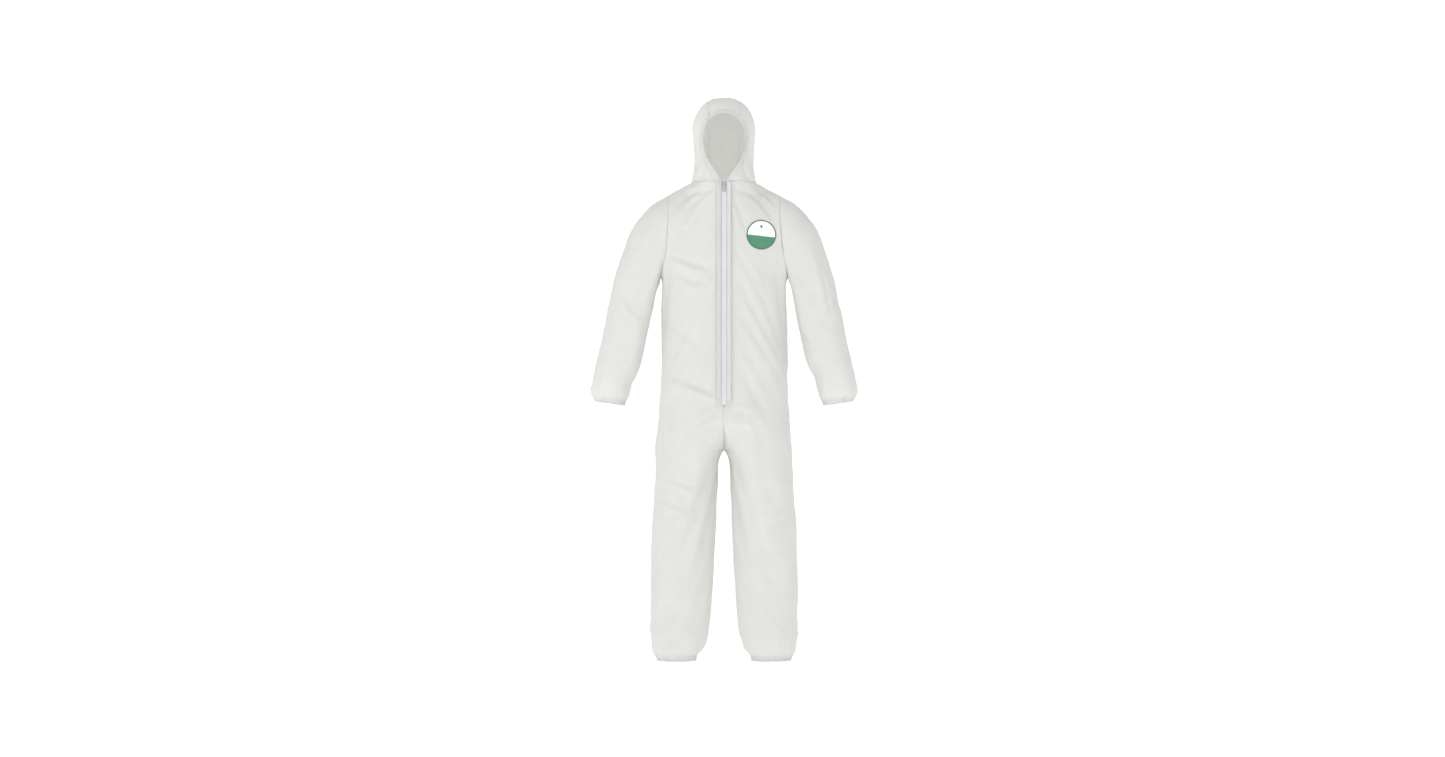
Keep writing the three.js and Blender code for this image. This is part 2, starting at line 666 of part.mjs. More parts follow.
const FAR = 400;                // past the hood on every side
const ABOVE = 2000;             // past the crown
const FACE_SEGMENTS = 7;
function hoodPanels() {
  const below = toSolid(block([-FAR, -FAR, 0], [FAR, FAR, NECK_HEIGHT + JOINT_GAP]));
  const opening = toSolid(frontPrism(faceOutline(), -FAR, FACE_CUT_DEPTH, FACE_SEGMENTS));
  const whole = toSolid(hoodBody(0)).subtract(toSolid(hoodBody(CLOTH))).subtract(below).subtract(opening);
  const gussetSpace = (half) => {
    const over = toSolid(block([-half, -FAR, GUSSET_FRONT_HEIGHT], [half, FAR, ABOVE]));
    return over.add(toSolid(block([-half, FACE_CUT_DEPTH, 0], [half, FAR, ABOVE])));
  };
  const centre = whole.intersect(gussetSpace(GUSSET_HALF_WIDTH - SEAM_GAP));
  const sides = whole.subtract(gussetSpace(GUSSET_HALF_WIDTH + SEAM_GAP));
  const left = sides.intersect(toSolid(block([0, -FAR, 0], [FAR, FAR, ABOVE])));
  const right = sides.intersect(toSolid(block([-FAR, -FAR, 0], [0, FAR, ABOVE])));
  return { centre: toGeometry(centre), left: toGeometry(left), right: toGeometry(right) };
}

// The hood's front surface at a place seen from the front.
function hoodFrontPoint(x, height) {
  const front = hoodFront(height);
  const back = hoodBack(height);
  const share = Math.min(Math.abs(x) / hoodHalfWidth(height), 0.999);
  const reach = (1 - share ** HOOD_SQUARENESS) ** (1 / HOOD_SQUARENESS);
  return new THREE.Vector3(x, (back - front) / 2 - (back + front) / 2 * reach, height);
}

function insideHood(x, height, depth) {
  const step = 0.5;
  const point = hoodFrontPoint(x, height);
  const right = hoodFrontPoint(x + step, height).sub(point);
  const above = hoodFrontPoint(x, height + step).sub(point);
  return point.addScaledVector(right.cross(above).normalize(), -depth);
}

// The elastic runs round the face opening, from one side of the zip's top to the other.
const FACE_ELASTIC_GAP = 2;     // from the hood's inner face
const FACE_ELASTIC_FOOT = 8;    // from the neck seam up to the elastic's ends
const FACE_ELASTIC_STEPS = 44;
function faceElastic() {
  const depth = CLOTH + FACE_ELASTIC_GAP + FACE_ELASTIC_RADIUS;
  const outline = faceOutline(FACE_ELASTIC_SETBACK).getPoints(8);
  const path = outline.filter((spot) => spot.y > NECK_HEIGHT + FACE_ELASTIC_FOOT)
    .map((spot) => insideHood(spot.x, spot.y, depth));
  const section = new THREE.Shape();
  section.absarc(0, 0, FACE_ELASTIC_RADIUS, 0, 2 * Math.PI);
  return new THREE.ExtrudeGeometry(section, {
    steps: FACE_ELASTIC_STEPS,
    curveSegments: 3,
    bevelEnabled: false,
    extrudePath: new THREE.CatmullRomCurve3(path),
  });
}

// ---------------------------------------------------------------- zip
// The zip's own frame: local Z runs up the zip from its foot, local Y goes in from the cloth's outer face.
const ZIP_LENGTH = Math.hypot(NECK_HEIGHT - ZIP_BOTTOM_HEIGHT, ZIP_BOTTOM_DEPTH - ZIP_TOP_DEPTH);
const ZIP_LEAN = Math.atan2(ZIP_BOTTOM_DEPTH - ZIP_TOP_DEPTH, NECK_HEIGHT - ZIP_BOTTOM_HEIGHT);
const TAPE_FACE = CLOTH + TAPE_SETBACK;
const COIL_FACE = TAPE_FACE - ZIP_PART_GAP - COIL_HEIGHT;
const STOP_LENGTH = 3;
const BOTTOM_STOP_HALF_WIDTH = 3.6;
const ZIP_MIDDLE_GAP = 0.4;     // from the middle of the zip to each tape
const COIL_FLAT = 0.8;          // the flat on a coil's face beside the middle
const SLIDER_TAPE_GAP = 0.3;
const SLIDER_TOP = ZIP_LENGTH - STOP_LENGTH - 2 * ZIP_PART_GAP;
const SLIDER_PLATE_FACE = COIL_FACE - ZIP_PART_GAP - SLIDER_WALL;
const PULL_AXIS = { y: SLIDER_PLATE_FACE - PULL_BAR_SETBACK, z: SLIDER_TOP - SLIDER_LENGTH / 2 };

function zipTapeShape() {
  const end = ZIP_LENGTH - 1;
  return block([ZIP_MIDDLE_GAP, TAPE_FACE, 0], [TAPE_WIDTH, TAPE_FACE + TAPE_THICKNESS, end]);
}

// One side of the chain: a half-round strip, drawn the other way up and turned over.
function zipCoil() {
  const section = new THREE.Shape();
  section.moveTo(-ZIP_PART_GAP / 2, 0);
  section.lineTo(-ZIP_PART_GAP / 2, COIL_HEIGHT);
  section.lineTo(-ZIP_PART_GAP / 2 - COIL_FLAT, COIL_HEIGHT);
  section.quadraticCurveTo(-COIL_HALF_WIDTH, COIL_HEIGHT, -COIL_HALF_WIDTH, 0);
  section.closePath();
  const length = ZIP_LENGTH - 2 * STOP_LENGTH - 4 * ZIP_PART_GAP;
  const options = { depth: length, bevelEnabled: false, curveSegments: 4 };
  const geometry = new THREE.ExtrudeGeometry(section, options);
  geometry.rotateZ(Math.PI);
  geometry.translate(0, TAPE_FACE - ZIP_PART_GAP, STOP_LENGTH + 2 * ZIP_PART_GAP);
  return geometry;
}

function topStop() {
  const low = [ZIP_MIDDLE_GAP, COIL_FACE, ZIP_LENGTH - STOP_LENGTH];
  return block(low, [COIL_HALF_WIDTH, TAPE_FACE - ZIP_PART_GAP, ZIP_LENGTH - ZIP_PART_GAP]);
}

function bottomStop() {
  const low = [-BOTTOM_STOP_HALF_WIDTH, COIL_FACE, ZIP_PART_GAP];
  const high = [BOTTOM_STOP_HALF_WIDTH, TAPE_FACE - ZIP_PART_GAP, STOP_LENGTH + ZIP_PART_GAP];
  return block(low, high);
}

// The arch over the slider that carries the pull, seen from its side.
function sliderCrown() {
  const { reach, rise, wall, width, round, sunk } = SLIDER_CROWN;
  const crown = new THREE.Shape();
  crown.moveTo(-reach, -sunk);
  crown.lineTo(-reach, rise - round);
  crown.quadraticCurveTo(-reach, rise, -reach + round, rise);
  crown.lineTo(reach - round, rise);
  crown.quadraticCurveTo(reach, rise, reach, rise - round);
  crown.lineTo(reach, -sunk);
  crown.lineTo(reach - wall, -sunk);
  crown.lineTo(reach - wall, rise - wall);
  crown.lineTo(wall - reach, rise - wall);
  crown.lineTo(wall - reach, -sunk);
  crown.closePath();
  const options = { depth: width, bevelEnabled: false, curveSegments: 3 };
  const arch = new THREE.ExtrudeGeometry(crown, options);
  arch.translate(0, 0, -width / 2);
  arch.rotateY(-Math.PI / 2);
  arch.rotateZ(Math.PI);
  return arch;
}

// A channel that straddles the chain.
function sliderBody() {
  const foot = SLIDER_TOP - SLIDER_LENGTH;
  const floor = TAPE_FACE - SLIDER_TAPE_GAP;
  const inside = SLIDER_HALF_WIDTH - SLIDER_WALL;
  const outerBlock = toSolid(block(
    [-SLIDER_HALF_WIDTH, SLIDER_PLATE_FACE, foot],
    [SLIDER_HALF_WIDTH, floor, SLIDER_TOP],
  ));
  const channel = toSolid(block(
    [-inside, SLIDER_PLATE_FACE + SLIDER_WALL, foot - 1],
    [inside, floor + 1, SLIDER_TOP + 1],
  ));
  const arch = sliderCrown();
  arch.translate(0, SLIDER_PLATE_FACE, PULL_AXIS.z);
  return toGeometry(outerBlock.subtract(channel).add(toSolid(arch)));
}

// A tapered tab whose top bar sits under the crown.
function pullTab() {
  const { top, neck, foot, eye } = PULL_HALF_WIDTH;
  const bar = PULL_BAR_HALF_HEIGHT;
  const footStart = PULL_FOOT_ROUND - PULL_LENGTH;
  const outline = new THREE.Shape();
  outline.moveTo(-top, bar);
  outline.lineTo(top, bar);
  outline.lineTo(neck, -PULL_NECK_DROP);
  outline.lineTo(foot, footStart);
  outline.quadraticCurveTo(foot, -PULL_LENGTH, 0, -PULL_LENGTH);
  outline.quadraticCurveTo(-foot, -PULL_LENGTH, -foot, footStart);
  outline.lineTo(-neck, -PULL_NECK_DROP);
  outline.closePath();
  const hole = new THREE.Path();
  hole.moveTo(-eye, -bar);
  hole.lineTo(-eye, -PULL_EYE_DROP);
  hole.lineTo(eye, -PULL_EYE_DROP);
  hole.lineTo(eye, -bar);
  hole.closePath();
  outline.holes.push(hole);
  const geometry = frontPrism(outline, -PULL_THICKNESS / 2, PULL_THICKNESS / 2, 4);
  geometry.translate(0, PULL_AXIS.y, PULL_AXIS.z);
  return geometry;
}

// ---------------------------------------------------------------- labels
// Where the front yoke passes a place seen from the front, found by Newton's method.
const NEWTON_ROUNDS = 12;
function frontYokeAt(x, height) {
  let across = x / UNDERARM.x;
  let up = (height - YOKE_HEIGHT) / (NECK_HEIGHT - YOKE_HEIGHT);
  for (let round = 0; round < NEWTON_ROUNDS; round += 1) {
    const step = 1e-4;
    const here = yokePoint(across, up, -1);
    const right = yokePoint(across + step, up, -1).sub(here).divideScalar(step);
    const above = yokePoint(across, up + step, -1).sub(here).divideScalar(step);
    const missX = x - here.x;
    const missZ = height - here.z;
    const area = right.x * above.z - right.z * above.x;
    across += (missX * above.z - missZ * above.x) / area;
    up += (missZ * right.x - missX * right.z) / area;
  }
  const point = yokePoint(across, up, -1);
  const right = yokePoint(across + 1e-3, up, -1).sub(point);
  const above = yokePoint(across, up + 1e-3, -1).sub(point);
  return { point, outward: right.cross(above).normalize() };
}

// A round patch that follows the chest: rings of points from its middle to its edge.
const LABEL_COLUMNS = 20;
function chestLabel() {
  const rows = LABEL_RINGS.map((radius) => Array.from({ length: LABEL_COLUMNS }, (unused, column) => {
    const angle = 2 * Math.PI * column / LABEL_COLUMNS;
    const x = LABEL_CENTRE.x + radius * Math.sin(angle);
    const height = LABEL_CENTRE.height + radius * Math.cos(angle);
    const { point, outward } = frontYokeAt(x, height);
    return { point: point.addScaledVector(outward, LABEL_LIFT + LABEL_THICKNESS), outward };
  }));
  const disc = toSolid(shell(rows, LABEL_THICKNESS, true));
  const { point, outward } = frontYokeAt(LABEL_CENTRE.x, LABEL_CENTRE.height);
  const plug = new THREE.CylinderGeometry(LABEL_PLUG_RADIUS, LABEL_PLUG_RADIUS, LABEL_THICKNESS, 12);
  plug.rotateX(Math.PI / 2);
  plug.lookAt(outward);
  plug.translate(...point.addScaledVector(outward, LABEL_LIFT + LABEL_THICKNESS / 2).toArray());
  return toGeometry(disc.add(toSolid(plug)));
}

// A blank care label that hangs inside the back of the neck.
function careLabel() {
  const { halfWidth, length, thickness, lean, setback, drop } = CARE_LABEL;
  const geometry = block([-halfWidth, -thickness / 2, -length], [halfWidth, thickness / 2, 0]);
  geometry.rotateX(lean);
  geometry.translate(0, neckPoint(0, 1).y - setback, NECK_HEIGHT - drop);
  return geometry;
}

// ---------------------------------------------------------------- assembly
const suit = new THREE.Group();
suit.position.z = -ORIGIN_HEIGHT;

const zip = new THREE.Group();
zip.position.set(0, -ZIP_BOTTOM_DEPTH, ZIP_BOTTOM_HEIGHT);
zip.rotation.x = -ZIP_LEAN;
suit.add(zip);

function add(parent, name, geometry, finish) {
  const mesh = new THREE.Mesh(geometry, finish);
  mesh.name = name;
  parent.add(mesh);
}

function addPair(parent, name, geometry, finish) {
  add(parent, `left_${name}`, geometry, finish());
  add(parent, `right_${name}`, mirrored(geometry), finish());
}

addPair(suit, 'front_panel', bodyPanel(-1), cloth);
addPair(suit, 'back_panel', bodyPanel(1), cloth);
addPair(suit, 'sleeve', sleeve(), cloth);
addPair(suit, 'wrist_elastic', wristElastic(), elastic);
addPair(suit, 'ankle_elastic', ankleElastic(), elastic);

const hood = hoodPanels();
add(suit, 'hood_centre_panel', hood.centre, cloth());
add(suit, 'hood_left_panel', hood.left, cloth());
add(suit, 'hood_right_panel', hood.right, cloth());
add(suit, 'face_elastic', faceElastic(), elastic());

addPair(zip, 'zip_tape', zipTapeShape(), zipTape);
addPair(zip, 'zip_coil', zipCoil(), nylon);
addPair(zip, 'zip_top_stop', topStop(), nylon);
add(zip, 'zip_bottom_stop', bottomStop(), nylon());
add(zip, 'zip_slider_body', sliderBody(), slider());
add(zip, 'zip_pull_tab', pullTab(), slider());

add(suit, 'chest_label', chestLabel(), labelPrint());
add(suit, 'care_label', careLabel(), labelCloth());

export default suit;
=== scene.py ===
"""A hooded chemical protective suit, filled out as if worn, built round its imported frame.

Shapes are worked out in millimetres and in heights above the ankle hems, as the suit was drafted,
and put into the frame (metres, origin between the shoulders) when a mesh is made.
"""
import json
import math

import bmesh
import bpy
import numpy as np
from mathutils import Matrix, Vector, noise
from mathutils.bvhtree import BVHTree
from mathutils.kdtree import KDTree

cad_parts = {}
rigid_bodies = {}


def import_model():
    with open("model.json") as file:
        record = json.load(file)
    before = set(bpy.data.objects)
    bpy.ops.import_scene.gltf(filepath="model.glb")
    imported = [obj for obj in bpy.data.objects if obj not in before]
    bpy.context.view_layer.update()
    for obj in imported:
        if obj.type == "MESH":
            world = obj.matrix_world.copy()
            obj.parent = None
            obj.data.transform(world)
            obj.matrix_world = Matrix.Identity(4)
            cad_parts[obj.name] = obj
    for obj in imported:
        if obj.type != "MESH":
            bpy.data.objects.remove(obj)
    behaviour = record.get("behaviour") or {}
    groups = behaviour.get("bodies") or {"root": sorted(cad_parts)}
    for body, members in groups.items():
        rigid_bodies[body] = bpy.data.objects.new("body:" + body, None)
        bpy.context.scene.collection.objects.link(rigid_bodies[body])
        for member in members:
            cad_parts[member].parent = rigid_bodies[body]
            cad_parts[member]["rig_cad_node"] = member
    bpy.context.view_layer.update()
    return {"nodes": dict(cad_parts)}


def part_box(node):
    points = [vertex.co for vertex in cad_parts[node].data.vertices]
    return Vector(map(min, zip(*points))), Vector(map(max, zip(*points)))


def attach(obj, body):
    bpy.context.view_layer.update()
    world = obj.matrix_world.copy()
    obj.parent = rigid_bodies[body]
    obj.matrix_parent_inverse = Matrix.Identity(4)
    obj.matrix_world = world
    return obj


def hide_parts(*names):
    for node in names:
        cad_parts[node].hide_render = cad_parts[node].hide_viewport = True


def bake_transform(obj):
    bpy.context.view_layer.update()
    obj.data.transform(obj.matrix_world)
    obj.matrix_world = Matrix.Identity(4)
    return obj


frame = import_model()
for name in ("Cube", "Light", "Camera"):
    if name in bpy.data.objects and "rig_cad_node" not in bpy.data.objects[name]:
        bpy.data.objects.remove(bpy.data.objects[name], do_unlink=True)

# ---- driving dimensions, in millimetres
ORIGIN_HEIGHT = 1500.0
CROTCH_HEIGHT = 675.0
RISE_HEIGHT = 810.0
RISE_FULLNESS = 0.12
YOKE_HEIGHT = 1180.0
UNDERARM_HEIGHT = 1233.0
NECK_HEIGHT = 1530.0
CROWN_HEIGHT = 1802.0
ZIP_BOTTOM_HEIGHT = 818.0
ZIP_BOTTOM_DEPTH = 140.0
ZIP_TOP_DEPTH = 104.0
ZIP_HALF_GAP = 6.5
TRUNK_SQUARENESS = 2.5
LEG_SQUARENESS = 2.2

TRUNK_HALF_WIDTH = [(675, 221), (742, 214), (829, 208), (915, 204), (1059, 197), (1203, 198), (1233, 204)]
TRUNK_BACK_DEPTH = [(675, 132), (829, 134), (960, 120), (1100, 118), (1250, 128)]
LEG_INNER = [(0, 90), (22, 79), (51, 64), (138, 50), (253, 45), (397, 38), (512, 30), (598, 24),
             (656, 12), (675, 0)]
LEG_OUTER = [(0, 214), (22, 226), (51, 235), (138, 238), (397, 237), (512, 228), (656, 221), (675, 221)]
LEG_HALF_DEPTH = [(0, 54), (22, 64), (51, 72), (138, 77), (253, 82), (397, 90), (512, 101), (600, 112),
                  (675, 120)]
LEG_SHIFT_BACK = [(0, 6), (253, 8), (512, -2), (675, 0)]

UNDERARM = np.array([205.0, 0.0, UNDERARM_HEIGHT])
SHOULDER_TIP = np.array([172.0, -4.0, 1490.0])
ARMHOLE_HALF_DEPTH = 76.0
ARMHOLE_BOW = 8.0
SLEEVE_FORWARD = 14.0
# how far along the sleeve, the outer point (x, height), the inner point and the half depth
SLEEVE_RINGS = [
    (0.10, (226, 1460), (210, 1218), 82), (0.20, (285, 1397), (217, 1196), 80),
    (0.32, (322, 1312), (225, 1166), 76), (0.45, (350, 1232), (236, 1115), 72),
    (0.60, (374, 1125), (251, 1050), 68), (0.75, (398, 1010), (270, 965), 65),
    (0.88, (424, 900), (294, 878), 62), (0.95, (425, 856), (304, 840), 57),
    (1.00, (413, 828), (317, 814), 46),
]

HOOD_SQUARENESS = 2.3
HOOD_DOME_HEIGHT = 1690.0
HOOD_DOME_POWER = 2.2
HOOD_HALF_WIDTH = [(1500, 98), (1548, 97), (1592, 94), (1640, 97), (1690, 101)]
HOOD_FRONT = [(1500, 104), (1548, 103), (1592, 103), (1640, 105), (1690, 106)]
HOOD_BACK = [(1500, 78), (1548, 84), (1592, 102), (1640, 121), (1690, 130)]
HOOD_HEART = np.array([0.0, 8.0, 1652.0])
FACE_TOP_HEIGHT = 1742.0
FACE_HALF_WIDTH = 68.0
FACE_WIDEST_HEIGHT = 1655.0
FACE_FOOT_HALF_WIDTH = 8.0
FACE_FOOT_FLARE = (22.0, 34.0)
FACE_JAW_DROP = 48.0
FACE_BROW_RISE = 50.0
FACE_BROW_SHARE = 0.6
HOOD_REACH = 320.0           # further than any of the hood's surface from a point inside it
HALVINGS = 40

# ---- mesh counts
PANEL_COLUMNS = 38
NECK_COLUMNS = 24            # of the panel's columns, those that end on the neck seam
GUSSET_COLUMNS = 8           # of the neck's columns, those that end on the hood's centre panel
LIP_COLUMNS = 7              # of a front panel's columns, those set close together beside the zip
LIP_STEP = 4.0
LEG_ROWS = 72
RISE_ROWS = 16
TRUNK_ROWS = 39
YOKE_ROWS = 40
YOKE_SIDE_ROWS = 8           # of the yoke's rows, those that end on the side seam
SLEEVE_ROWS = 64
RIM_ROWS = 36                # along the side of the face opening
DENSE = 400                  # points of a curve before it is divided evenly
SIDE_SHARE = YOKE_SIDE_ROWS / YOKE_ROWS
ARMHOLE_ROWS = YOKE_ROWS - YOKE_SIDE_ROWS


# ---- curves
def mix(a, b, t):
    return a + (b - a) * t


def smooth(t):
    t = np.clip(t, 0.0, 1.0)
    return t * t * (3.0 - 2.0 * t)


def hermite(places, values, at):
    """A smooth curve through values at places; values may be points."""
    places = np.asarray(places, float)
    values = np.asarray(values, float)
    rise = np.diff(values, axis=0)
    run = np.diff(places).reshape((-1,) + (1,) * (values.ndim - 1))
    slopes = np.empty_like(values)
    slopes[0] = rise[0] / run[0]
    slopes[-1] = rise[-1] / run[-1]
    slopes[1:-1] = (values[2:] - values[:-2]) / (run[1:] + run[:-1])
    at = np.clip(np.asarray(at, float), places[0], places[-1])
    i = np.clip(np.searchsorted(places, at) - 1, 0, len(places) - 2)
    shape = np.shape(at) + (1,) * (values.ndim - 1)
    span = (places[i + 1] - places[i]).reshape(shape)
    t = (at - places[i]).reshape(shape) / span
    bend = t * (1 - t) * span * ((1 - t) * slopes[i] - t * slopes[i + 1])
    return mix(values[i], values[i + 1], t * t * (3 - 2 * t)) + bend


def profile(pairs):
    places, values = zip(*pairs)
    return lambda at: hermite(places, values, at)


def squared(value, squareness):
    return np.sign(value) * np.abs(value) ** (2.0 / squareness)


def points(x, y, z):
    return np.stack(np.broadcast_arrays(x, y, z), axis=-1).astype(float)


def spread(curve, count, fine=0.0):
    """The curve again as count + 1 even points, or, by fine, with its first few set close together."""
    steps = np.linalg.norm(np.diff(curve, axis=0), axis=1)
    run = np.concatenate([[0.0], np.cumsum(steps)])
    want = np.linspace(0.0, run[-1], count + 1)
    close = np.arange(LIP_COLUMNS + 1) * LIP_STEP
    close = np.concatenate([close[:-1], np.linspace(close[-1], run[-1], count + 1 - LIP_COLUMNS)])
    want = mix(want, close, fine)
    return np.stack([np.interp(want, run, curve[:, k]) for k in range(3)], axis=1)


# ---- trunk and legs
trunk_half_width = profile(TRUNK_HALF_WIDTH)
trunk_back_depth = profile(TRUNK_BACK_DEPTH)
leg_inner = profile(LEG_INNER)
leg_outer = profile(LEG_OUTER)
leg_half_depth = profile(LEG_HALF_DEPTH)
leg_shift_back = profile(LEG_SHIFT_BACK)


def front_depth(height):
    share = (height - ZIP_BOTTOM_HEIGHT) / (NECK_HEIGHT - ZIP_BOTTOM_HEIGHT)
    return mix(ZIP_BOTTOM_DEPTH, ZIP_TOP_DEPTH, share)


def trunk_point(turn, height):
    """Half round the trunk: 0 is the middle of the front, 1 the middle of the back."""
    cosine = squared(np.cos(np.pi * turn), TRUNK_SQUARENESS)
    sine = squared(np.sin(np.pi * turn), TRUNK_SQUARENESS)
    depth = np.where(cosine > 0, front_depth(height), trunk_back_depth(height))
    return points(trunk_half_width(height) * sine, -depth * cosine, height)


def leg_point(turn, height):
    """Round a leg: 0 and 1 are the inseam, a quarter the front and half the outside."""
    angle = 2 * np.pi * turn
    middle = (leg_inner(height) + leg_outer(height)) / 2
    half_width = (leg_outer(height) - leg_inner(height)) / 2
    x = middle - half_width * squared(np.cos(angle), LEG_SQUARENESS)
    y = leg_shift_back(height) - leg_half_depth(height) * squared(np.sin(angle), LEG_SQUARENESS)
    return points(x, y, height)


def rise_point(turn, share):
    angle = share * np.pi / 2
    drop = RISE_HEIGHT - CROTCH_HEIGHT
    side_height = RISE_HEIGHT - drop * share
    middle_height = RISE_HEIGHT - drop * math.sin(angle)
    point = mix(leg_point(turn, CROTCH_HEIGHT), trunk_point(turn, side_height), math.cos(angle))
    point[:, 1] *= 1 + RISE_FULLNESS * math.sin(2 * angle)
    point[:, 2] = mix(side_height, middle_height, np.cos(np.pi * turn) ** 2)
    return point


def armhole_point(share, side):
    """From the underarm (0) to the shoulder tip (1), round the front (-1) or the back (1)."""
    angle = np.pi * np.asarray(share, float)
    middle = (UNDERARM + SHOULDER_TIP) / 2
    reach = (SHOULDER_TIP - UNDERARM) * -0.5 * np.cos(angle)[..., None]
    point = middle + reach
    point[..., 1] += side * ARMHOLE_HALF_DEPTH * np.sin(angle)
    point[..., 0] -= ARMHOLE_BOW * np.sin(angle)
    return point


def hood_levels(height):
    dome = np.clip((height - HOOD_DOME_HEIGHT) / (CROWN_HEIGHT - HOOD_DOME_HEIGHT), 0.0, 1.0)
    dome = (1 - dome ** HOOD_DOME_POWER) ** (1 / HOOD_DOME_POWER)
    names = (HOOD_HALF_WIDTH, HOOD_FRONT, HOOD_BACK)
    return [profile(pairs)(height) * dome for pairs in names]


def neck_point(share, side):
    half_width, front, back = hood_levels(1500.0)
    angle = share * np.pi / 2
    x = half_width * squared(np.sin(angle), HOOD_SQUARENESS)
    y = (back - front) / 2 + side * (back + front) / 2 * squared(np.cos(angle), HOOD_SQUARENESS)
    return points(x, y, NECK_HEIGHT)


NECK_SHARE = 4 / 9
NECK_LOCALITY = 4
ARMHOLE_LOCALITY = 2.5
UPPER_BACK_ROUND = 20.0


def panel_top(share, side):
    neck = neck_point(np.minimum(share / NECK_SHARE, 1.0), side)
    along = np.clip((share - NECK_SHARE) / (1 - NECK_SHARE), 0.0, 1.0)[..., None]
    return mix(neck, SHOULDER_TIP, along)


def panel_side(up, side):
    if up < SIDE_SHARE - 1e-6:
        height = mix(YOKE_HEIGHT, UNDERARM_HEIGHT, up / SIDE_SHARE)
        return np.array([float(trunk_half_width(height)), 0.0, height])
    return armhole_point((up - SIDE_SHARE) / (1 - SIDE_SHARE), side)


def swept_top(share, side):
    neck = neck_point(np.array(0.0), side)
    angle = share * np.pi / 2
    x = SHOULDER_TIP[0] * squared(np.sin(angle), TRUNK_SQUARENESS)
    y = mix(SHOULDER_TIP[1], neck[1], squared(np.cos(angle), TRUNK_SQUARENESS))
    return points(x, y, mix(neck[2], SHOULDER_TIP[2], share))


def yoke_row(across, up, side):
    """The surface from the chest up to the shoulder, stretched between its edges."""
    turn = across / 2 if side < 0 else 1 - across / 2
    foot = trunk_point(turn, YOKE_HEIGHT)
    middle_foot = trunk_point(np.array(0.0 if side < 0 else 1.0), YOKE_HEIGHT)
    side_foot = panel_side(0.0, side)
    straight_side = mix(side_foot, SHOULDER_TIP, up)
    neck = neck_point(np.array(0.0), side)
    middle = mix(middle_foot, neck, up)
    if side > 0:
        middle[1] += UPPER_BACK_ROUND * math.sin(math.pi * up)
    a = across[:, None]
    top = swept_top(across, side)
    point = foot * (1 - up) + top * up + middle * (1 - a) + straight_side * a
    point -= middle_foot * (1 - a) * (1 - up) + side_foot * a * (1 - up)
    point -= neck * (1 - a) * up + SHOULDER_TIP * a * up
    point += (panel_top(across, side) - top) * up ** NECK_LOCALITY
    return point + (panel_side(up, side) - straight_side) * a ** ARMHOLE_LOCALITY


def trimmed(curve, side):
    """A front row stops beside the zip."""
    if side > 0 or curve[0, 2] < ZIP_BOTTOM_HEIGHT:
        curve[0, 0] = 0.0 if curve[0, 2] > CROTCH_HEIGHT - 0.5 else curve[0, 0]
        return curve
    start = curve[0].copy()
    start[0] = ZIP_HALF_GAP
    return np.vstack([start, curve[curve[:, 0] > ZIP_HALF_GAP + 1.0]])


def beside_zip(height, side):
    return float(smooth((height - 690.0) / 110.0)) if side < 0 else 0.0


def body_panel(side):
    """Rows from the ankle to the shoulder; side is -1 for the front and 1 for the back."""
    dense = np.linspace(0.0, 1.0, DENSE)
    turn = dense / 2 if side < 0 else 1 - dense / 2
    rows = [leg_point(turn, height) for height in np.linspace(0, CROTCH_HEIGHT, LEG_ROWS + 1)]
    rows += [rise_point(turn, share) for share in np.linspace(1, 0, RISE_ROWS + 1)[1:]]
    trunk_heights = np.linspace(RISE_HEIGHT, YOKE_HEIGHT, TRUNK_ROWS + 1)[1:]
    rows += [trunk_point(turn, height) for height in trunk_heights]
    rows += [yoke_row(dense, up, side) for up in np.linspace(0, 1, YOKE_ROWS + 1)[1:-1]]
    grid = [spread(trimmed(row, side), PANEL_COLUMNS, beside_zip(row[0, 2], side)) for row in rows]
    neck = spread(trimmed(neck_point(dense, side), side), NECK_COLUMNS, beside_zip(NECK_HEIGHT, side))
    shoulder = spread(np.stack([neck_point(np.array(1.0), side), SHOULDER_TIP]), PANEL_COLUMNS - NECK_COLUMNS)
    grid.append(np.vstack([neck, shoulder[1:]]))
    return np.array(grid)


# ---- sleeves
def sleeve():
    """Rings from the wrist up to the armhole, each from the shoulder tip round the back."""
    columns = 2 * ARMHOLE_ROWS
    share = np.arange(columns) / ARMHOLE_ROWS
    back = armhole_point(1 - share[:ARMHOLE_ROWS], 1)
    front = armhole_point(share[ARMHOLE_ROWS:] - 1, -1)
    rings = [np.vstack([back, front])]
    places = [0.0]
    angle = (2 * np.pi * np.arange(columns) / columns)[:, None]
    for at, outer, inner, half_depth in SLEEVE_RINGS:
        top = np.array([outer[0], 0.0, outer[1]])
        foot = np.array([inner[0], 0.0, inner[1]])
        middle = (top + foot) / 2 - [0, SLEEVE_FORWARD * at, 0]
        depth = np.array([0.0, half_depth, 0.0])
        rings.append(middle + (top - foot) / 2 * np.cos(angle) + depth * np.sin(angle))
        places.append(at)
    fine = hermite(places, rings, np.linspace(0, 1, DENSE))
    steps = np.linalg.norm(np.diff(fine, axis=0), axis=2).mean(axis=1)
    run = np.concatenate([[0.0], np.cumsum(steps)])
    at = np.interp(np.linspace(0, run[-1], SLEEVE_ROWS + 1), run, np.linspace(0, 1, DENSE))
    return hermite(places, rings, at)[::-1]


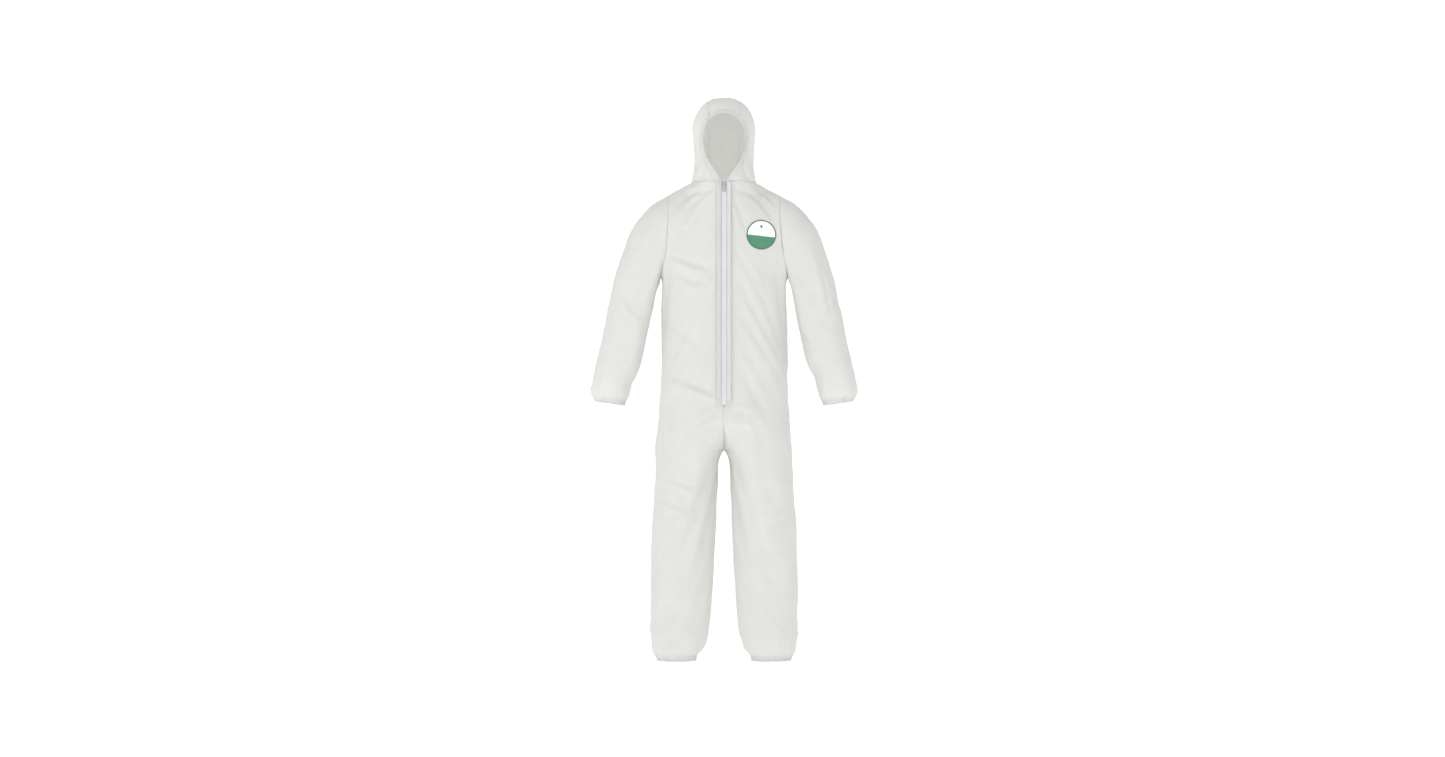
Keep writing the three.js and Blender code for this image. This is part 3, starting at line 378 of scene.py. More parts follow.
# ---- hood
def hood_radius(heart, direction):
    """How far the hood's surface is from a point inside it."""
    low = np.zeros(direction.shape[:-1])
    high = np.full(direction.shape[:-1], HOOD_REACH)
    for _ in range(HALVINGS):
        middle = (low + high) / 2
        spot = heart + direction * middle[..., None]
        levels = hood_levels(np.minimum(spot[..., 2], CROWN_HEIGHT))
        half_width, front, back = (np.maximum(v, 1e-6) for v in levels)
        x = np.abs(spot[..., 0]) / half_width
        y = np.abs(spot[..., 1] - (back - front) / 2) / ((back + front) / 2)
        x, y = np.minimum(x, 9.0), np.minimum(y, 9.0)
        outside = x ** HOOD_SQUARENESS + y ** HOOD_SQUARENESS > 1
        outside |= spot[..., 2] >= CROWN_HEIGHT
        high = np.where(outside, middle, high)
        low = np.where(outside, low, middle)
    return (low + high) / 2


def bezier(a, b, c, d, t):
    t = t[:, None]
    return a * (1 - t) ** 3 + 3 * b * t * (1 - t) ** 2 + 3 * c * t * t * (1 - t) + d * t ** 3


def face_outline(count=200):
    """The wearer's left side of the face opening as (x, height), from the zip up to the middle."""
    t = np.linspace(0, 1, count)
    wide, foot = FACE_HALF_WIDTH, FACE_FOOT_HALF_WIDTH
    spots = [(foot, NECK_HEIGHT), (foot + FACE_FOOT_FLARE[0], NECK_HEIGHT + FACE_FOOT_FLARE[1]),
             (wide, FACE_WIDEST_HEIGHT - FACE_JAW_DROP), (wide, FACE_WIDEST_HEIGHT),
             (wide, FACE_WIDEST_HEIGHT + FACE_BROW_RISE), (wide * FACE_BROW_SHARE, FACE_TOP_HEIGHT),
             (0, FACE_TOP_HEIGHT)]
    spots = [np.array(s, float) for s in spots]
    return np.vstack([bezier(*spots[:4], t), bezier(*spots[3:], t)[1:]])


def hood_front(x, height):
    half_width, front, back = hood_levels(height)
    share = np.minimum(np.abs(x) / half_width, 0.9999)
    reach = (1 - share ** HOOD_SQUARENESS) ** (1 / HOOD_SQUARENESS)
    return points(x, (back - front) / 2 - (back + front) / 2 * reach, height)


def hood_gusset(back_neck):
    """The centre panel: rows over the crown from forehead to nape, columns from the middle outwards."""
    outline = face_outline()
    columns = []
    rows = RIM_ROWS + 2 * NECK_COLUMNS - GUSSET_COLUMNS
    for nape in back_neck[:GUSSET_COLUMNS + 1]:
        x = nape[0]
        top = outline[len(outline) // 2:][::-1]
        rim = hood_front(np.array([x]), np.array([np.interp(x, top[:, 0], top[:, 1])]))[0]
        heart = HOOD_HEART + [x, 0, 0]
        ends = [math.atan2(p[2] - heart[2], heart[1] - p[1]) for p in (rim, nape)]
        angle = np.linspace(ends[0], ends[1] + 2 * math.pi if ends[1] < 0 else ends[1], 500)
        direction = points(0.0, -np.cos(angle), np.sin(angle))
        curve = heart + direction * hood_radius(heart, direction)[:, None]
        curve[0], curve[-1] = rim, nape
        columns.append(spread(curve, rows))
    return np.array(columns).transpose(1, 0, 2)


def coons(foot, top, left, right):
    """A grid between four edges: foot and top run left to right, left and right run up."""
    a = np.linspace(0, 1, len(foot))[None, :, None]
    u = np.linspace(0, 1, len(left))[:, None, None]
    grid = foot[None] * (1 - u) + top[None] * u + left[:, None] * (1 - a) + right[:, None] * a
    corners = foot[0] * (1 - a) * (1 - u) + foot[-1] * a * (1 - u) + top[0] * (1 - a) * u + top[-1] * a * u
    return grid - corners


def hood_side(front_neck, back_neck, gusset):
    """A side panel: its foot is the neck seam, its left edge the face opening, the rest the gusset's."""
    seam = gusset[:, GUSSET_COLUMNS]
    outline = face_outline()
    corner = seam[0]
    rim = outline[outline[:, 1] < corner[2] + 20]
    rim = rim[(rim[:, 0] > corner[0]) | (rim[:, 1] < FACE_WIDEST_HEIGHT)]
    rim = hood_front(rim[:, 0], rim[:, 1])
    rim[0] = front_neck[0]
    rim = spread(np.vstack([rim, corner]), RIM_ROWS)
    foot = np.vstack([front_neck[:NECK_COLUMNS + 1], back_neck[GUSSET_COLUMNS:NECK_COLUMNS][::-1]])
    top = seam[:len(foot)]
    right = seam[len(foot) - 1:][::-1]
    grid = coons(foot, top, rim, right)
    direction = grid - HOOD_HEART
    direction /= np.linalg.norm(direction, axis=2)[..., None]
    inner = HOOD_HEART + direction * hood_radius(HOOD_HEART, direction)[..., None]
    grid[1:-1, 1:-1] = inner[1:-1, 1:-1]
    return grid


# ---- the sewn suit
PIECES = ["left_front_panel", "right_front_panel", "left_back_panel", "right_back_panel", "left_sleeve",
          "right_sleeve", "hood_left_panel", "hood_right_panel", "hood_centre_panel"]


def grid_faces(rows, columns, closed):
    r, c = np.meshgrid(np.arange(rows - 1), np.arange(columns if closed else columns - 1), indexing="ij")
    n = (c + 1) % columns
    low, high = r * columns, (r + 1) * columns
    return np.stack([low + c, low + n, high + n, high + c], axis=-1).reshape(-1, 4)


def suit_grids():
    """Every panel as (name, grid, whether it closes on itself), on both sides."""
    front, back, arm = body_panel(-1), body_panel(1), sleeve()
    gusset = hood_gusset(back[-1])
    side = hood_side(front[-1], back[-1], gusset)
    left = [("left_front_panel", front, False), ("left_back_panel", back[:, ::-1], False),
            ("left_sleeve", arm, True), ("hood_left_panel", side, False),
            ("hood_centre_panel", gusset, False)]
    right = []
    for name, grid, closed in left:
        other = grid * [-1, 1, 1]
        if name.startswith("left"):
            name = name.replace("left", "right")
        right.append((name.replace("hood_left", "hood_right"), other[:, ::-1], closed))
    return left + right


def to_frame(grid):
    place = grid.reshape(-1, 3) / 1000.0
    place[:, 2] -= ORIGIN_HEIGHT / 1000.0
    return place


def faced_out(mesh, weld=0.0):
    """The mesh with its faces turned outward, after welding vertices closer than weld."""
    work = bmesh.new()
    work.from_mesh(mesh)
    if weld:
        bmesh.ops.remove_doubles(work, verts=work.verts, dist=weld)
    bmesh.ops.recalc_face_normals(work, faces=work.faces)
    work.to_mesh(mesh)
    work.free()
    return mesh


def sewn_suit():
    """One mesh of all the panels, welded at the seams; a face's material index is its piece."""
    verts, faces, labels = [], [], []
    start = 0
    for name, grid, closed in suit_grids():
        quads = grid_faces(grid.shape[0], grid.shape[1], closed) + start
        verts.append(to_frame(grid))
        faces.append(quads)
        labels.append(np.full(len(quads), PIECES.index(name)))
        start += grid.shape[0] * grid.shape[1]
    verts, faces, labels = np.vstack(verts), np.vstack(faces), np.concatenate(labels)
    mesh = bpy.data.meshes.new("suit_sewn")
    mesh.from_pydata(verts.tolist(), [], faces.tolist())
    for name in PIECES:
        mesh.materials.append(None)
    mesh.polygons.foreach_set("material_index", labels.astype(np.int32))
    return faced_out(mesh, 0.0002)


def positions(mesh):
    place = np.empty(len(mesh.vertices) * 3)
    mesh.vertices.foreach_get("co", place)
    return place.reshape(-1, 3)


def set_positions(mesh, place):
    mesh.vertices.foreach_set("co", place.astype(np.float32).ravel())
    mesh.update()


def vertex_normals(mesh):
    normal = np.empty(len(mesh.vertices) * 3)
    mesh.vertices.foreach_get("normal", normal)
    return normal.reshape(-1, 3)


# ---- the cloth, filled out and hung
EASE = 0.02                  # how much bigger the cloth is than the form under it
SIM_FRAMES = 36
CALM_ROUNDS = 5
CLOTH_INSET = 0.009          # how deep the form lies under the cloth on the legs and the lower trunk
# from which height up, over what height, and how deep the form lies at the shoulders and in the hood
INSETS = [(-0.30, 0.22, 0.003), (0.05, 0.05, 0.005)]
CLOTH_GAP = 0.002
CLOTH_FRICTION = 12.0
CROTCH_POINT = np.array([0.0, 0.0, -0.825])
CLOTH_SETTINGS = {
    "quality": 4, "mass": 0.12, "air_damping": 3.0, "vertex_group_mass": "pins", "pin_stiffness": 4.0,
    "tension_stiffness": 25.0, "compression_stiffness": 18.0,
    "shear_stiffness": 8.0, "bending_stiffness": 7.0,
    "tension_damping": 12.0, "compression_damping": 12.0, "shear_damping": 10.0, "bending_damping": 1.5,
    "shrink_min": -EASE,
}


def new_object(name, mesh):
    item = bpy.data.objects.new(name, mesh)
    bpy.context.scene.collection.objects.link(item)
    return item


def discard(item):
    mesh = item.data
    bpy.data.objects.remove(item, do_unlink=True)
    bpy.data.meshes.remove(mesh)


def boundary(mesh):
    """The vertices on the cloth's free edges."""
    work = bmesh.new()
    work.from_mesh(mesh)
    found = np.zeros(len(mesh.vertices), bool)
    for edge in work.edges:
        if edge.is_boundary:
            found[[v.index for v in edge.verts]] = True
    work.free()
    return found


def distance_to(place, targets):
    """From every place to the nearest of the targets, and which it is."""
    tree = KDTree(len(targets))
    for i, spot in enumerate(targets):
        tree.insert(spot, i)
    tree.balance()
    found = [tree.find(spot) for spot in place]
    return np.array([f[2] for f in found]), np.array([f[1] for f in found])


def calmed(mesh, move):
    """The cloth's movement with its finest folds taken out."""
    ends = np.empty(len(mesh.edges) * 2, np.int32)
    mesh.edges.foreach_get("vertices", ends)
    ends = ends.reshape(-1, 2)
    count = np.bincount(ends.ravel(), minlength=len(move))[:, None]
    for _ in range(CALM_ROUNDS):
        total = np.zeros_like(move)
        for k in range(3):
            total[:, k] = np.bincount(ends[:, 0], move[ends[:, 1], k], len(move))
            total[:, k] += np.bincount(ends[:, 1], move[ends[:, 0], k], len(move))
        move = 0.5 * move + 0.5 * total / count
    return move


def hang(mesh):
    """Lets the cloth settle over the form, held at its hems, its zip and its face opening."""
    place = positions(mesh)
    normal = vertex_normals(mesh)
    z = place[:, 2]
    inset = np.full(len(place), CLOTH_INSET)
    for level, fade, depth in INSETS:
        inset = np.where(z > level, mix(inset, depth, smooth((z - level) / fade)), inset)
    form = mesh.copy()
    set_positions(form, place - normal * inset[:, None])
    body = new_object("wearer_form", form)
    body.modifiers.new("collision", "COLLISION")
    body.collision.thickness_outer = CLOTH_GAP
    body.collision.cloth_friction = CLOTH_FRICTION
    cloth = new_object("cloth_sim", mesh)
    pins = cloth.vertex_groups.new(name="pins")
    free = boundary(mesh)
    rim_distance, _ = distance_to(place, place[free])
    hold = 1 - smooth((rim_distance - 0.004) / 0.014)
    front = (normal[:, 1] < 0) & (z > -0.70) & (z < 0.04)
    hold = np.maximum(hold, np.where(front, 1 - smooth((np.abs(place[:, 0]) - 0.022) / 0.014), 0.0))
    crotch = np.linalg.norm(place - CROTCH_POINT, axis=1)
    hold = np.maximum(hold, 0.5 * (1 - smooth((crotch - 0.03) / 0.07)))
    for i, value in enumerate(hold):
        if value > 0.01:
            pins.add([i], float(value), "REPLACE")
    modifier = cloth.modifiers.new("cloth", "CLOTH")
    settings = modifier.settings
    for key, value in CLOTH_SETTINGS.items():
        setattr(settings, key, value)
    modifier.collision_settings.distance_min = CLOTH_GAP
    modifier.collision_settings.collision_quality = 2
    modifier.point_cache.frame_start = 1
    modifier.point_cache.frame_end = SIM_FRAMES
    scene = bpy.context.scene
    for step in range(1, SIM_FRAMES + 1):
        scene.frame_set(step)
    graph = bpy.context.evaluated_depsgraph_get()
    settled = positions(cloth.evaluated_get(graph).data)
    scene.frame_set(1)
    cloth.modifiers.clear()
    cloth.vertex_groups.clear()
    bpy.data.objects.remove(cloth, do_unlink=True)
    discard(body)
    return place + calmed(mesh, settled - place)


# ---- folds, seams and gathers
def finer(mesh):
    """The mesh with every face split in four and smoothed."""
    item = new_object("finer", mesh)
    split = item.modifiers.new("split", "SUBSURF")
    split.levels = 1
    graph = bpy.context.evaluated_depsgraph_get()
    fine = bpy.data.meshes.new_from_object(item.evaluated_get(graph))
    bpy.data.objects.remove(item, do_unlink=True)
    bpy.data.meshes.remove(mesh)
    return fine


def face_corners(mesh):
    corners = np.empty(len(mesh.loops), np.int32)
    mesh.loops.foreach_get("vertex_index", corners)
    return corners.reshape(-1, 4)


def face_labels(mesh):
    labels = np.empty(len(mesh.polygons), np.int32)
    mesh.polygons.foreach_get("material_index", labels)
    return labels


def seam_vertices(mesh):
    corners, labels = face_corners(mesh), face_labels(mesh)
    low = np.full(len(mesh.vertices), 99)
    high = np.full(len(mesh.vertices), -1)
    for k in range(4):
        np.minimum.at(low, corners[:, k], labels)
        np.maximum.at(high, corners[:, k], labels)
    return low != high


def ripple(place, size, seed):
    """Smooth noise from -1 to 1 at every place; size is that of its bumps, in metres."""
    shift = Vector((seed * 17.3, seed * 5.1, seed * 9.7))
    return np.array([noise.noise(Vector(spot) / size + shift) for spot in place])


# side, width, depth and then the path as (x, height): a ridge on one side and a valley on the other
CREASES = [
    (-1, 13, 3.0, [(20, 1474), (42, 1425), (66, 1362)]),
    (-1, 15, 3.4, [(-186, 1288), (-110, 1262), (-32, 1234)]),
    (-1, 15, 2.4, [(-176, 1240), (-112, 1205), (-40, 1186)]),
    (-1, 16, 3.2, [(-180, 1074), (-130, 1030), (-76, 992)]),
    (-1, 16, 4.2, [(-178, 904), (-90, 868), (-12, 836)]),
    (-1, 13, 3.4, [(-2, 806), (-46, 788), (-92, 756)]),
    (-1, 12, 3.0, [(94, 793), (46, 803), (2, 806)]),
    (-1, 12, 3.0, [(-2, 760), (-50, 750), (-104, 734)]),
    (-1, 12, 2.6, [(98, 742), (50, 752), (2, 760)]),
    (-1, 14, 3.0, [(-192, 584), (-130, 556), (-76, 546)]),
    (-1, 14, 3.2, [(-208, 512), (-150, 486), (-92, 474)]),
    (-1, 12, 2.2, [(-180, 458), (-140, 462), (-84, 492)]),
    (-1, 13, 2.6, [(205, 560), (150, 536), (92, 528)]),
    (-1, 13, 2.2, [(210, 470), (160, 448), (100, 452)]),
    (-1, 12, 3.6, [(-14, 1524), (-64, 1502), (-132, 1496)]),
    (-1, 12, 3.6, [(132, 1494), (64, 1502), (14, 1524)]),
    (-1, 10, 2.6, [(-22, 1556), (-44, 1526), (-88, 1512)]),
    (-1, 10, 2.6, [(92, 1512), (44, 1528), (22, 1556)]),
    (-1, 9, 2.4, [(-66, 1596), (-74, 1556), (-96, 1524)]),
    (-1, 9, 2.4, [(98, 1524), (74, 1556), (66, 1596)]),
    (-1, 11, 3.2, [(-76, 1508), (-122, 1486), (-164, 1448)]),
    (-1, 11, 3.0, [(-66, 1492), (-108, 1456), (-150, 1404)]),
    (-1, 11, 2.6, [(-52, 1478), (-84, 1430), (-118, 1372)]),
    (-1, 11, 3.2, [(78, 1508), (124, 1486), (166, 1446)]),
    (-1, 11, 3.0, [(68, 1492), (110, 1456), (152, 1402)]),
    (-1, 12, 3.0, [(292, 1316), (340, 1190), (372, 1054)]),
    (-1, 12, 2.6, [(276, 1330), (314, 1206), (338, 1090)]),
    (-1, 12, 3.0, [(-268, 1404), (-300, 1360), (-320, 1306)]),
    (-1, 12, 2.6, [(-240, 1420), (-272, 1366), (-292, 1300)]),
    (-1, 12, 2.4, [(-330, 1180), (-300, 1120), (-262, 1084)]),
    (-1, 12, 2.4, [(330, 1176), (300, 1120), (262, 1084)]),
    (-1, 9, 1.8, [(-82, 1560), (-88, 1600), (-90, 1650)]),
    (-1, 9, 1.8, [(84, 1556), (90, 1600), (91, 1650)]),
    (1, 15, 3.0, [(-120, 1400), (-40, 1330), (60, 1300)]),
    (1, 15, 3.0, [(150, 1240), (60, 1190), (-60, 1180)]),
    (1, 16, 3.4, [(-170, 930), (-80, 870), (-8, 830)]),
    (1, 16, 3.4, [(170, 930), (80, 870), (8, 830)]),
    (1, 14, 2.6, [(-200, 560), (-140, 520), (-80, 520)]),
    (1, 14, 2.6, [(200, 556), (140, 520), (80, 516)]),
]
LIP_PROFILE = [(6.5, -1.2), (8.5, 1.0), (11, 1.9), (16, 1.5), (20, 0.5), (22.5, -0.9), (25, 0.2), (29, 0.4),
               (36, 0.0)]
# lift and reach in millimetres of what a seam does to the cloth beside it
SEAM_RIDGE = (0.7, 9.0, 6.0)
SEAM_GROOVE = (1.3, 4.0)
SEAM_PUCKER = (1.1, 16.0, 0.011)
SHALLOW_SEAM = 0.45          # the share of a full groove at the neck and the armholes
# how many gathers, the seed, the height in metres and the reach from the edge in millimetres
ANKLE_GATHERS = (24, 3.0, 0.0017, 42.0)
WRIST_GATHERS = (20, 5.0, 0.0015, 42.0)
FACE_GATHERS = (34, 7.0, 0.0008, 20.0)
HEM_GROOVE = (0.001, 3.2)
PULL_REST_HEIGHT = 806.0     # where the zip's pull lies on the cloth when the zip is open
PULL_REST_DEPTH = 0.0015
# how high and how wide the cloth's uneven swells are, in metres, and the seed of each
RIPPLES = [(0.0026, 0.085, 4), (0.0015, 0.040, 2), (0.0005, 0.015, 3)]
CREASE_STRENGTH = 1.6
CREASE_STEPS = 24
STITCH_FROM_ZIP = 22.5
HEM_DEPTH = 0.017            # from a hem's edge to its stitching


def crease(place, normal, side, width, depth, path):
    """How far a crease lifts each point of the cloth, in metres."""
    facing = smooth(normal[:, 1] * side / 0.35 - 0.2)
    spot = np.stack([place[:, 0] * 1000, place[:, 2] * 1000 + ORIGIN_HEIGHT], axis=1)
    path = np.array(path, float)
    length = np.linalg.norm(np.diff(path, axis=0), axis=1)
    run = np.concatenate([[0.0], np.cumsum(length)])
    at = np.linspace(0.0, run[-1], CREASE_STEPS + 1)
    fine = hermite(run, path, at)
    near = np.full(len(spot), 1e9)
    lift = np.zeros(len(spot))
    for i in range(CREASE_STEPS):
        a, b = fine[i], fine[i + 1]
        way = (b - a) / np.linalg.norm(b - a)
        along = np.clip((spot - a) @ way, 0, np.linalg.norm(b - a))
        off = spot - a - along[:, None] * way
        far = np.linalg.norm(off, axis=1)
        across = (spot - a) @ np.array([-way[1], way[0]]) / width
        share = (at[i] + along) / run[-1]
        swell = np.sin(np.pi * np.clip(share, 0.02, 0.98)) ** 0.7
        shape = -1.7 * across * np.exp(-(far / width) ** 2) * swell
        lift = np.where(far < near, shape, lift)
        near = np.minimum(near, far)
    return lift * facing * depth / 1000


def gathers(across, count, seed):
    """The lift of cloth gathered round an axis; across is each point's place square to it."""
    angle = np.arctan2(across[:, 1], across[:, 0])
    round_about = np.stack([np.cos(angle) * 2.2, np.sin(angle) * 2.2, np.full(len(angle), seed)], axis=1)
    wander = np.array([noise.noise(Vector(spot)) for spot in round_about])
    return np.sin(count * angle + 5.0 * wander) * (0.75 + 0.5 * np.sin(2.7 * angle + seed + 4 * wander))


def dress(mesh):
    """Works the seams, hems, gathers and lasting creases into the hung cloth."""
    place, normal = positions(mesh), vertex_normals(mesh)
    height = place[:, 2] * 1000 + ORIGIN_HEIGHT
    width = np.abs(place[:, 0]) * 1000
    lift = np.zeros(len(place))
    for side, reach, depth, path in CREASES:
        lift += CREASE_STRENGTH * crease(place, normal, side, reach, depth, path)
    seam, _ = distance_to(place, place[seam_vertices(mesh)])
    seam *= 1000
    shallow = (height > UNDERARM_HEIGHT - 20) & ((width > 120) | (height > 1500))
    ridge = SEAM_RIDGE[0] * np.exp(-((seam - SEAM_RIDGE[1]) / SEAM_RIDGE[2]) ** 2)
    groove = SEAM_GROOVE[0] * np.exp(-(seam / SEAM_GROOVE[1]) ** 2)
    lift += 0.001 * np.where(shallow, SHALLOW_SEAM, 1.0) * (ridge - groove)
    lift += 0.001 * np.exp(-seam / SEAM_PUCKER[1]) * SEAM_PUCKER[0] * ripple(place, SEAM_PUCKER[2], 1)
    lift += sum(height_of * ripple(place, size, seed) for height_of, size, seed in RIPPLES)
    rim, _ = distance_to(place, place[boundary(mesh)])
    rim *= 1000
    depth = place[:, 1] * 1000
    leg = height < 120
    arm = (width > 280) & (height < 960) & (height > 700)
    face = (height > NECK_HEIGHT + 6) & (normal[:, 1] < 0.3) & (rim < 60)
    leg_middle = (leg_inner(height) + leg_outer(height)) / 2
    arm_middle = 365.0 - 0.24 * (height - 821.0)
    for part, one, other, (count, seed, rise, reach) in (
            (leg, width - leg_middle, depth - 6, ANKLE_GATHERS),
            (arm, (width - arm_middle) * 0.97, depth + 13, WRIST_GATHERS),
            (face, place[:, 0] * 1000, height - 1640, FACE_GATHERS)):
        waves = gathers(np.stack([one, other], axis=1), count, seed)
        lift += np.where(part, rise * np.exp(-(rim / reach) ** 1.5) * waves, 0.0)
    groove = HEM_GROOVE[0] * np.exp(-((rim - HEM_DEPTH * 1000) / HEM_GROOVE[1]) ** 2)
    lift -= np.where(leg | arm | face, groove, 0.0)
    zipped = (normal[:, 1] < 0) & (width < LIP_PROFILE[-1][0])
    zipped &= (height > ZIP_BOTTOM_HEIGHT - 4) & (height < NECK_HEIGHT + 2)
    lips = np.interp(width, *zip(*LIP_PROFILE))
    ends = smooth((height - ZIP_BOTTOM_HEIGHT + 4) / 24)
    lift = np.where(zipped, 0.001 * lips * ends + lift * smooth((width - 18) / 14), lift)
    under_pull = np.exp(-(width / 20) ** 4 - ((height - PULL_REST_HEIGHT) / 30) ** 4) * (normal[:, 1] < 0)
    lift = mix(lift, np.minimum(lift, -PULL_REST_DEPTH), under_pull)
    set_positions(mesh, place + normal * lift[:, None])


# ---- cutting the suit into its pieces
def piece_mesh(name, verts, faces, material):
    mesh = bpy.data.meshes.new(name)
    mesh.from_pydata(np.asarray(verts).tolist(), [], [list(map(int, f)) for f in faces])
    mesh.materials.append(material)
    mesh.polygons.foreach_set("use_smooth", np.full(len(mesh.polygons), True))
    mesh.update()
    return mesh


def free_edges(corners):
    """The directed edges that only one face has."""
    pairs = np.vstack([corners[:, [k, (k + 1) % 4]] for k in range(4)])
    seen = {}
    for a, b in pairs:
        key = (min(a, b), max(a, b))
        seen[key] = None if key in seen else (int(a), int(b))
    return [pair for pair in seen.values() if pair]


def inward(edges, place, normal):
    """At each free vertex, the way from the edge into the cloth, evened out along the edge."""
    after = dict(edges)
    before = {b: a for a, b in edges}
    ways = {v: np.cross(normal[v], place[after[v]] - place[before[v]]) for v in after}
    ways = {v: way / np.linalg.norm(way) for v, way in ways.items()}
    for _ in range(4):
        ways = {v: (ways[before[v]] + 2 * ways[v] + ways[after[v]]) / 4 for v in after}
    return {v: way / np.linalg.norm(way) for v, way in ways.items()}


# how far in from the edge and how deep under the cloth the turned-in hem runs, in metres
TURNED_HEM = [(0.0006, 0.0014), (0.0030, 0.0029), (0.0100, 0.0031), (0.0175, 0.0028)]


def turned_in(mesh):
    """Adds the hem turned in along every free edge; returns vertices, faces and labels."""
    place, normal = positions(mesh), vertex_normals(mesh)
    corners, labels = face_corners(mesh), face_labels(mesh)
    edges = free_edges(corners)
    edge_vertices = sorted({v for pair in edges for v in pair})
    ways = inward(edges, place, normal)
    owner = {}
    for quad, label in zip(corners, labels):
        for k in range(4):
            owner[(int(quad[k]), int(quad[(k + 1) % 4]))] = label
    verts = [place]
    index = {}
    start = len(place)
    for step, (along, under) in enumerate(TURNED_HEM):
        ring = []
        for n, v in enumerate(edge_vertices):
            ring.append(place[v] + ways[v] * along - normal[v] * under)
            index[(step, v)] = start + n
        verts.append(np.array(ring))
        start += len(ring)
    faces = [corners]
    tags = [labels]
    extra, extra_tags = [], []
    for a, b in edges:
        tag = owner[(a, b)]
        rows = [(a, b)] + [(index[(k, a)], index[(k, b)]) for k in range(len(TURNED_HEM))]
        for low, high in zip(rows, rows[1:]):
            extra.append((low[1], low[0], high[0], high[1]))
            extra_tags.append(tag)
    faces.append(np.array(extra))
    tags.append(np.array(extra_tags))
    return np.vstack(verts), np.vstack(faces), np.concatenate(tags)


def loops_of(mesh):
    """The cloth's free edges as closed loops: (points, ways in, normals)."""
    place, normal = positions(mesh), vertex_normals(mesh)
    corners = face_corners(mesh)
    edges = free_edges(corners)
    chain = dict(edges)
    ways = inward(edges, place, normal)
    loops = []
    left = set(chain)
    while left:
        v = min(left)
        loop = []
        while v in left:
            left.discard(v)
            loop.append(v)
            v = chain[v]
        loops.append((place[loop], np.array([ways[v] for v in loop]), normal[loop]))
    return loops


# ---- materials
def shader(name, color, roughness, **sockets):
    """A Principled material and a helper that adds its nodes."""
    material = bpy.data.materials.new(name)
    material.use_nodes = True
    tree = material.node_tree
    surface = tree.nodes["Principled BSDF"]
    surface.inputs["Base Color"].default_value = (*color, 1.0)
    surface.inputs["Roughness"].default_value = roughness
    for socket, value in sockets.items():
        surface.inputs[socket.replace("_", " ")].default_value = value
    return material, tree, surface


def node(tree, kind, inputs=None, **settings):
    item = tree.nodes.new(kind)
    for key, value in settings.items():
        setattr(item, key, value)
    for key, value in (inputs or {}).items():
        if isinstance(value, bpy.types.NodeSocket):
            tree.links.new(value, item.inputs[key])
        else:
            item.inputs[key].default_value = value
    return item


def tinted(tree, surface, amount, low, high):
    """The surface's colour drifts between two tints."""
    ramp = node(tree, "ShaderNodeMix", {0: amount}, data_type="RGBA")
    ramp.inputs[6].default_value = (*low, 1.0)
    ramp.inputs[7].default_value = (*high, 1.0)
    tree.links.new(ramp.outputs[2], surface.inputs["Base Color"])


CLOTH_LETS_THROUGH = 0.5


def nonwoven(name, low, high, roughness):
    """A laminated nonwoven: bonding dots, fine fibres and faint papery creases."""
    material, tree, surface = shader(name, high, roughness)
    surface.inputs["Sheen Weight"].default_value = 0.08
    surface.inputs["Specular IOR Level"].default_value = 0.3
    through = node(tree, "ShaderNodeBsdfTranslucent", {"Color": (*high, 1.0)})
    both = node(tree, "ShaderNodeMixShader", {0: CLOTH_LETS_THROUGH, 1: surface.outputs["BSDF"],
                                              2: through.outputs["BSDF"]})
    tree.links.new(both.outputs["Shader"], tree.nodes["Material Output"].inputs["Surface"])
    where = node(tree, "ShaderNodeTexCoord").outputs["Object"]
    cloudy = node(tree, "ShaderNodeTexNoise", {"Vector": where, "Scale": 14.0, "Detail": 4.0})
    tinted(tree, surface, cloudy.outputs["Fac"], low, high)
    dots = node(tree, "ShaderNodeTexVoronoi", {"Vector": where, "Scale": 900.0})
    fibre = node(tree, "ShaderNodeTexNoise", {"Vector": where, "Scale": 420.0, "Detail": 6.0})
    papery = node(tree, "ShaderNodeTexVoronoi", {"Vector": where, "Scale": 42.0}, feature="DISTANCE_TO_EDGE")
    paper_soft = node(tree, "ShaderNodeMath", {0: papery.outputs["Distance"], 1: 0.35}, operation="MINIMUM")
    layers = [(dots.outputs["Distance"], 0.10, 0.0004), (fibre.outputs["Fac"], 0.22, 0.0005),
              (paper_soft.outputs[0], 0.10, 0.002)]
    for height, strength, distance in layers:
        bump = node(tree, "ShaderNodeBump", {"Height": height, "Strength": strength, "Distance": distance})
        if surface.inputs["Normal"].is_linked:
            tree.links.new(surface.inputs["Normal"].links[0].from_socket, bump.inputs["Normal"])
        tree.links.new(bump.outputs["Normal"], surface.inputs["Normal"])
    return material


def woven(name, low, high, pitch, roughness=0.75):
    """A woven or braided tape whose threads are pitch metres apart."""
    material, tree, surface = shader(name, high, roughness)
    where = node(tree, "ShaderNodeTexCoord").outputs["Object"]
    wave = {"Vector": where, "Scale": 0.31 / pitch, "Distortion": 0.6}
    warp = node(tree, "ShaderNodeTexWave", wave, bands_direction="X")
    weft = node(tree, "ShaderNodeTexWave", wave, bands_direction="Z")
    weave = node(tree, "ShaderNodeMath", {0: warp.outputs["Fac"], 1: weft.outputs["Fac"]},
                 operation="MAXIMUM")
    cloudy = node(tree, "ShaderNodeTexNoise", {"Vector": where, "Scale": 60.0, "Detail": 3.0})
    tinted(tree, surface, cloudy.outputs["Fac"], low, high)
    bump = node(tree, "ShaderNodeBump", {"Height": weave.outputs[0], "Strength": 0.5, "Distance": 0.0003})
    tree.links.new(bump.outputs["Normal"], surface.inputs["Normal"])
    return material


